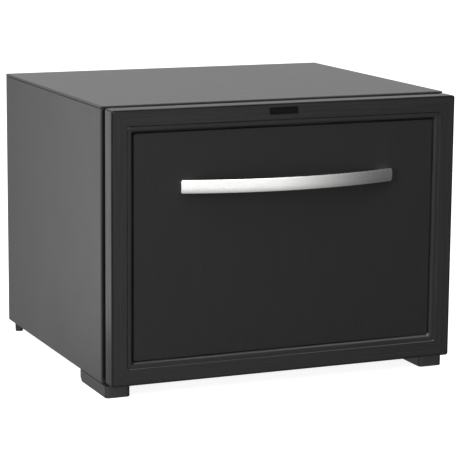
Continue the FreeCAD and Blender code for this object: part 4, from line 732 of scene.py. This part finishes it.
sides = ("left_", "right_")
plated = Finish("zinc_plate", Metallic=1.0)
plate_lines = plated.speckle(ROLLED_LINES, detail=3.0, stretch=ROLLED_DRAWN)
plated.surface(
    Base_Color=plated.tint(plate_lines, PLATED_DARK, PLATED_LIGHT),
    Roughness=spread(plate_lines, *MOST, *PLATED_ROUGH),
)
for side in sides:
    for member in ("slide_cabinet_member", "slide_middle_member", "slide_drawer_member"):
        dress(plated, side + member)
    dress(plated, side + "outer_ball_cage", side + "inner_ball_cage", side + "bin_rail")
dress(plated, "bin_cross_rail")


# ---------------------------------------------------------------- balls of the slides
# Hardened steel balls in the windows of the cages, in a row above and a row below the slide's
# middle. Each cage's balls are one piece and move with it.

BALL_R, BALL_SEGMENTS, BALL_RINGS = 0.0016, 12, 8
BALL_PITCH, BALLS_IN_ROW, FIRST_BALL_Y = 0.011, 7, -0.0700
SLIDE_Z = 0.128
BALL_ROWS = {"outer": (0.2063, 0.0149), "inner": (0.2029, 0.0099)}
BALL_STEEL, BALL_ROUGH, BALL_HAZE = (0.72, 0.73, 0.74), (0.06, 0.14), 0.001

chrome = Finish("chrome_steel", Metallic=1.0, Base_Color=BALL_STEEL)
chrome.surface(Roughness=spread(chrome.speckle(BALL_HAZE), *MOST, *BALL_ROUGH))
for side, mirrored in zip(sides, (-1.0, 1.0)):
    for row, (ball_x, ball_h) in BALL_ROWS.items():
        deselect()
        bpy.ops.mesh.primitive_uv_sphere_add(
            segments=BALL_SEGMENTS,
            ring_count=BALL_RINGS,
            radius=BALL_R,
            location=(mirrored * ball_x, FIRST_BALL_Y, SLIDE_Z + ball_h),
        )
        bpy.ops.object.transform_apply(location=True, rotation=True, scale=True)
        balls = bpy.context.object
        for layout, count, offset in (
            ("in_row", BALLS_IN_ROW, (0.0, BALL_PITCH, 0.0)),
            ("two_rows", 2, (0.0, 0.0, -2.0 * ball_h)),
        ):
            spaced = balls.modifiers.new(layout, "ARRAY")
            spaced.count = count
            spaced.use_relative_offset = False
            spaced.use_constant_offset = True
            spaced.constant_offset_displace = offset
            bpy.ops.object.modifier_apply(modifier=layout)
        balls = settle(side + row + "_balls", chrome, side + row + "_cage")
        bpy.ops.object.shade_smooth()


# ---------------------------------------------------------------- bin and divider
# A grey-white polystyrene bin with ribs under its floor, and a clear styrene divider that hooks
# over its rims. The lens of the lamp is of the same clear styrene.

BIN_WHITE = (0.66, 0.67, 0.67)
BIN_SHADE = (0.60, 0.61, 0.61)
BIN_ROUGH = (0.34, 0.44)
BIN_HAZE, BIN_GRAIN, BIN_DEEP = 0.05, 0.0006, 0.00004
CLEAR_TINT, CLEAR_IOR, CLEAR_THROUGH = (0.93, 0.95, 0.96), 1.5, 0.9
CLEAR_HAZE, CLEAR_ROUGH = 0.02, (0.04, 0.10)

bin_plastic = Finish("bin_polystyrene")
bin_grain = bin_plastic.speckle(BIN_GRAIN)
bin_haze = bin_plastic.speckle(BIN_HAZE, detail=3.0)
bin_plastic.surface(
    Base_Color=bin_plastic.tint(bin_haze, BIN_WHITE, BIN_SHADE),
    Roughness=spread(bin_grain, *MOST, *BIN_ROUGH),
    Normal=bin_plastic.relief(bin_grain, BIN_DEEP),
)
dress(bin_plastic, "drawer_bin")

clear = Finish("clear_styrene", Base_Color=CLEAR_TINT, IOR=CLEAR_IOR)
clear_rough = spread(clear.speckle(CLEAR_HAZE), *MOST, *CLEAR_ROUGH)
clear.surface(Transmission_Weight=CLEAR_THROUGH, Roughness=clear_rough)
dress(clear, "bin_divider", "lamp_lens")


# ---------------------------------------------------------------- cooling unit
# The absorption unit is one welded steel loop, sprayed black: boiler, condenser, absorber coil
# and vessel. A jacket of zinc plated sheet wraps the boiler and its heater.

UNIT_BLACK, UNIT_ROUGH = (0.018, 0.018, 0.019), (0.30, 0.48)
UNIT_GRAIN, UNIT_DEEP = 0.002, 0.0001

unit_paint = Finish("unit_enamel", Base_Color=UNIT_BLACK)
unit_grain = unit_paint.speckle(UNIT_GRAIN, detail=4.0)
unit_paint.surface(
    Roughness=spread(unit_grain, *MOST, *UNIT_ROUGH),
    Normal=unit_paint.relief(unit_grain, UNIT_DEEP),
)
dress(
    unit_paint,
    "evaporator_tube",
    "absorber_vessel",
    "absorber_coil",
    "boiler_tube",
    "condenser",
    "gas_heat_exchanger",
    "unit_brackets",
)
dress(zinc, "boiler_jacket", "heater_cartridge")


# ---------------------------------------------------------------- weld beads of the unit
# Uneven beads of weld metal where the unit's tubes meet its vessels, sprayed black with them.
# Each joint gives the axis of its tube, its middle and its radius.

UNIT_Y = 0.184
BEAD_T, BEAD_UNEVEN = 0.0010, 0.00016
WIRE_SEGMENTS, WIRE_SIDES = 48, 8
JOINTS = (
    ("x", (-0.0603, UNIT_Y, 0.066), 0.0122),
    ("x", (0.1103, UNIT_Y, 0.066), 0.0082),
    ("x", (-0.0550, UNIT_Y, 0.066), 0.0256),
    ("x", (0.1050, UNIT_Y, 0.066), 0.0256),
    ("x", (-0.1384, UNIT_Y, 0.215), 0.0062),
    ("x", (-0.0920, UNIT_Y, 0.256), 0.0062),
    ("x", (-0.0920, UNIT_Y, 0.296), 0.0062),
    ("z", (0.1500, UNIT_Y, 0.316), 0.0072),
    ("z", (0.0950, UNIT_Y, 0.0918), 0.0062),
)


def ring(axis, place, radius, thick):
    """Adds a ring of round wire about a tube whose axis is x or z, and leaves it in edit mode."""
    deselect()
    flip = (0.0, QUARTER_TURN, 0.0) if axis == "x" else (0.0, 0.0, 0.0)
    bpy.ops.mesh.primitive_torus_add(
        location=place,
        rotation=flip,
        major_radius=radius,
        minor_radius=thick,
        major_segments=WIRE_SEGMENTS,
        minor_segments=WIRE_SIDES,
    )
    bpy.ops.object.mode_set(mode="EDIT")
    bpy.ops.mesh.select_all(action="SELECT")


for number, (axis, place, radius) in enumerate(JOINTS):
    ring(axis, place, radius, BEAD_T)
    bpy.ops.transform.vertex_random(offset=BEAD_UNEVEN, seed=number)
    weld = settle("weld_%d" % number, unit_paint, "cabinet")
    bpy.ops.object.shade_smooth()


# ---------------------------------------------------------------- hems and seam of the jacket
# The jacket's sheet is rolled over at both ends into a flat hem, and its two edges are joined by a
# folded seam that runs down behind.

JACKET_X, JACKET_LOW, JACKET_HIGH = 0.150, 0.104, 0.294
HEM_T, HEM_R, HEM_TALL, HEM_IN = 0.0011, 0.0306, 1.7, 0.0032
SEAM_R, SEAM_TURN, SEAM_HALF, SEAM_IN = 0.0310, 25.0, 0.0035, 0.0045
SEAM_SUNK, SEAM_PROUD, SEAM_ROUND = 0.0005, 0.0009, 0.0004

for number, level in enumerate((JACKET_LOW + HEM_IN, JACKET_HIGH - HEM_IN)):
    hem_middle = (JACKET_X, UNIT_Y, level)
    ring("z", hem_middle, HEM_R, HEM_T)
    bpy.ops.transform.resize(value=(1.0, 1.0, HEM_TALL), center_override=hem_middle)
    hem = settle("jacket_hem_%d" % number, zinc, "cabinet")

seam_turn = math.radians(SEAM_TURN)
seam_x = JACKET_X - SEAM_R * math.sin(seam_turn)
seam_y = UNIT_Y + SEAM_R * math.cos(seam_turn)
block(
    (-SEAM_HALF, -SEAM_SUNK, JACKET_LOW + SEAM_IN), (SEAM_HALF, SEAM_PROUD, JACKET_HIGH - SEAM_IN)
)
seam = bpy.context.object
seam.rotation_euler = (0.0, 0.0, seam_turn)
seam.location = (seam_x, seam_y, 0.0)
bpy.ops.object.transform_apply(location=True, rotation=True, scale=True)
bpy.ops.object.mode_set(mode="EDIT")
pick("EDGE", lambda edge: runs_along(edge, 2))
bpy.ops.mesh.bevel(offset=SEAM_ROUND, segments=2, affect="EDGES")
seam = settle("jacket_seam", zinc, "cabinet")


# ---------------------------------------------------------------- rear screws
# Cross recessed pan heads, zinc plated: four hold the hatch cover to the bulkhead, and two the
# control box. One head is made and copied.

SCREW_R, SCREW_H, SCREW_SIDES = 0.0032, 0.0017, 24
PAN_ROUND, PAN_STEPS = 0.0011, 5
RECESS_HALF, RECESS_REACH, RECESS_FLOOR, RECESS_OVER = 0.00045, 0.0020, 0.0006, 0.0030
HATCH_SCREWS = [(x, 0.1348, z) for x in (-0.116, 0.116) for z in (0.236, 0.316)]
BOX_SCREWS = [(-0.2392, 0.2260, 0.0495), (-0.1792, 0.2260, 0.1105)]


def take_up(piece):
    """Makes a piece the only one that is selected, and the active one."""
    deselect()
    piece.select_set(True)
    bpy.context.view_layer.objects.active = piece


deselect()
bpy.ops.mesh.primitive_cylinder_add(
    vertices=SCREW_SIDES, radius=SCREW_R, depth=SCREW_H, location=(0.0, 0.0, SCREW_H / 2.0)
)
pan = bpy.context.object
bpy.ops.object.transform_apply(location=True, rotation=True, scale=True)
bpy.ops.object.mode_set(mode="EDIT")
pick("EDGE", lambda edge: all(v.co.z > SCREW_H - NEAR for v in edge.verts))
bpy.ops.mesh.bevel(offset=PAN_ROUND, segments=PAN_STEPS, affect="EDGES")
bpy.ops.object.mode_set(mode="OBJECT")
for half_x, half_y in ((RECESS_REACH, RECESS_HALF), (RECESS_HALF, RECESS_REACH)):
    block((-half_x, -half_y, RECESS_FLOOR), (half_x, half_y, RECESS_OVER))
    cutter = bpy.context.object
    take_up(pan)
    recess = pan.modifiers.new("recess", "BOOLEAN")
    recess.object = cutter
    recess.operation = "DIFFERENCE"
    bpy.ops.object.modifier_apply(modifier="recess")
    bpy.data.objects.remove(cutter, do_unlink=True)
pan.rotation_euler = (-QUARTER_TURN, 0.0, 0.0)
take_up(pan)
bpy.ops.object.transform_apply(location=True, rotation=True, scale=True)
for number, place in enumerate(HATCH_SCREWS + BOX_SCREWS):
    screw = pan.copy()
    screw.data = pan.data.copy()
    screw.location = place
    scene.collection.objects.link(screw)
    take_up(screw)
    screw = settle("rear_screw_%d" % number, plated, "cabinet")
bpy.data.objects.remove(pan, do_unlink=True)


# ---------------------------------------------------------------- evaporator plate
# A cast aluminium block with fins, clamped to the unit's cold tube inside the liner.

CAST_DARK = (0.60, 0.61, 0.62)
CAST_LIGHT = (0.70, 0.71, 0.72)
CAST_ROUGH = (0.38, 0.55)
SAND_SIZE, SAND_DEEP = 0.0008, 0.0001

aluminium = Finish("cast_aluminium", Metallic=1.0)
sand = aluminium.speckle(SAND_SIZE, detail=4.0)
aluminium.surface(
    Base_Color=aluminium.tint(sand, CAST_DARK, CAST_LIGHT),
    Roughness=spread(sand, *MOST, *CAST_ROUGH),
    Normal=aluminium.relief(sand, SAND_DEEP),
)
dress(aluminium, "evaporator")


# ---------------------------------------------------------------- control box and mouldings
# Black moulded box with the mains inlet at the back, and, in the same black, the reed switch and
# the thermostat's knob under the white housing.

MOULDED_BLACK, MOULDED_ROUGH = (0.02, 0.02, 0.02), (0.40, 0.52)
MOULDED_GRAIN, MOULDED_DEEP = 0.0006, 0.00005

moulded = Finish("black_moulding", Base_Color=MOULDED_BLACK)
moulded_grain = moulded.speckle(MOULDED_GRAIN, detail=3.0)
moulded.surface(
    Roughness=spread(moulded_grain, *MOST, *MOULDED_ROUGH),
    Normal=moulded.relief(moulded_grain, MOULDED_DEEP),
)
dress(moulded, "control_box", "mains_inlet", "reed_switch", "thermostat_knob")


# ---------------------------------------------------------------- dial and pointer
# The figures 0 to 5 are printed on the housing in grey ink, clockwise from the top round the knob,
# and a white mark is let into the knob's face to point at them.

KNOB_X, KNOB_Z, HOUSING_Y, KNOB_Y = 0.154, 0.3265, -0.1160, -0.1283
DIAL_R, FIGURE_H, INK_T, INK_STEPS = 0.0152, 0.0034, 0.00008, 3
DIAL_STEPS, DIAL_SWEEP = 5, 270.0
INK_GREY, INK_GRAIN, INK_ROUGH = (0.10, 0.10, 0.11), 0.0004, (0.45, 0.60)
MARK_WHITE, MARK_GRAIN, MARK_ROUGH = (0.80, 0.80, 0.79), 0.0006, (0.35, 0.45)
MARK_HALF, MARK_PROUD, MARK_SUNK, MARK_CORNER = 0.0006, 0.00015, 0.0002, 0.0005
MARK_START, MARK_END = 0.0040, 0.0112

ink = Finish("dial_ink", Base_Color=INK_GREY)
ink.surface(Roughness=spread(ink.speckle(INK_GRAIN), *MOST, *INK_ROUGH))
for step in range(DIAL_STEPS + 1):
    lean = math.radians(DIAL_SWEEP * step / DIAL_STEPS)
    figure_x, figure_z = KNOB_X + DIAL_R * math.sin(lean), KNOB_Z + DIAL_R * math.cos(lean)
    deselect()
    bpy.ops.object.text_add(
        location=(figure_x, HOUSING_Y, figure_z), rotation=(QUARTER_TURN, 0.0, 0.0)
    )
    figure = bpy.context.object
    figure.data.body = str(step)
    figure.data.size = FIGURE_H
    figure.data.align_x = "CENTER"
    figure.data.align_y = "CENTER"
    figure.data.extrude = INK_T
    figure.data.resolution_u = INK_STEPS
    bpy.ops.object.convert(target="MESH")
    figure = settle("dial_figure_%d" % step, ink, "cabinet")

mark = Finish("pointer_white", Base_Color=MARK_WHITE)
mark.surface(Roughness=spread(mark.speckle(MARK_GRAIN), *MOST, *MARK_ROUGH))
block(
    (KNOB_X - MARK_HALF, KNOB_Y - MARK_PROUD, KNOB_Z + MARK_START),
    (KNOB_X + MARK_HALF, KNOB_Y + MARK_SUNK, KNOB_Z + MARK_END),
)
bpy.ops.object.mode_set(mode="EDIT")
pick("EDGE", lambda edge: runs_along(edge, 1))
bpy.ops.mesh.bevel(offset=MARK_CORNER, segments=3, affect="EDGES")
pointer = settle("knob_pointer", mark, "knob")


# ---------------------------------------------------------------- inlet pins and lamp board
# Three nickelled brass pins stand in the mains inlet. The lamp's small circuit board is green
# glass laminate, held in the housing behind the lens.

BRASS_DARK = (0.75, 0.62, 0.38)
BRASS_LIGHT = (0.80, 0.70, 0.48)
BRASS_HAZE, BRASS_ROUGH = 0.002, 0.25
BOARD_DARK = (0.02, 0.14, 0.06)
BOARD_LIGHT = (0.03, 0.20, 0.09)
BOARD_WEAVE, BOARD_ROUGH = 0.0008, 0.4

brass = Finish("nickelled_brass", Metallic=1.0, Roughness=BRASS_ROUGH)
brass.surface(Base_Color=brass.tint(brass.speckle(BRASS_HAZE), BRASS_DARK, BRASS_LIGHT))
dress(brass, "inlet_pins")

laminate = Finish("board_laminate", Roughness=BOARD_ROUGH)
weave = laminate.speckle(BOARD_WEAVE)
laminate.surface(Base_Color=laminate.tint(weave, BOARD_DARK, BOARD_LIGHT))
dress(laminate, "lamp_board")
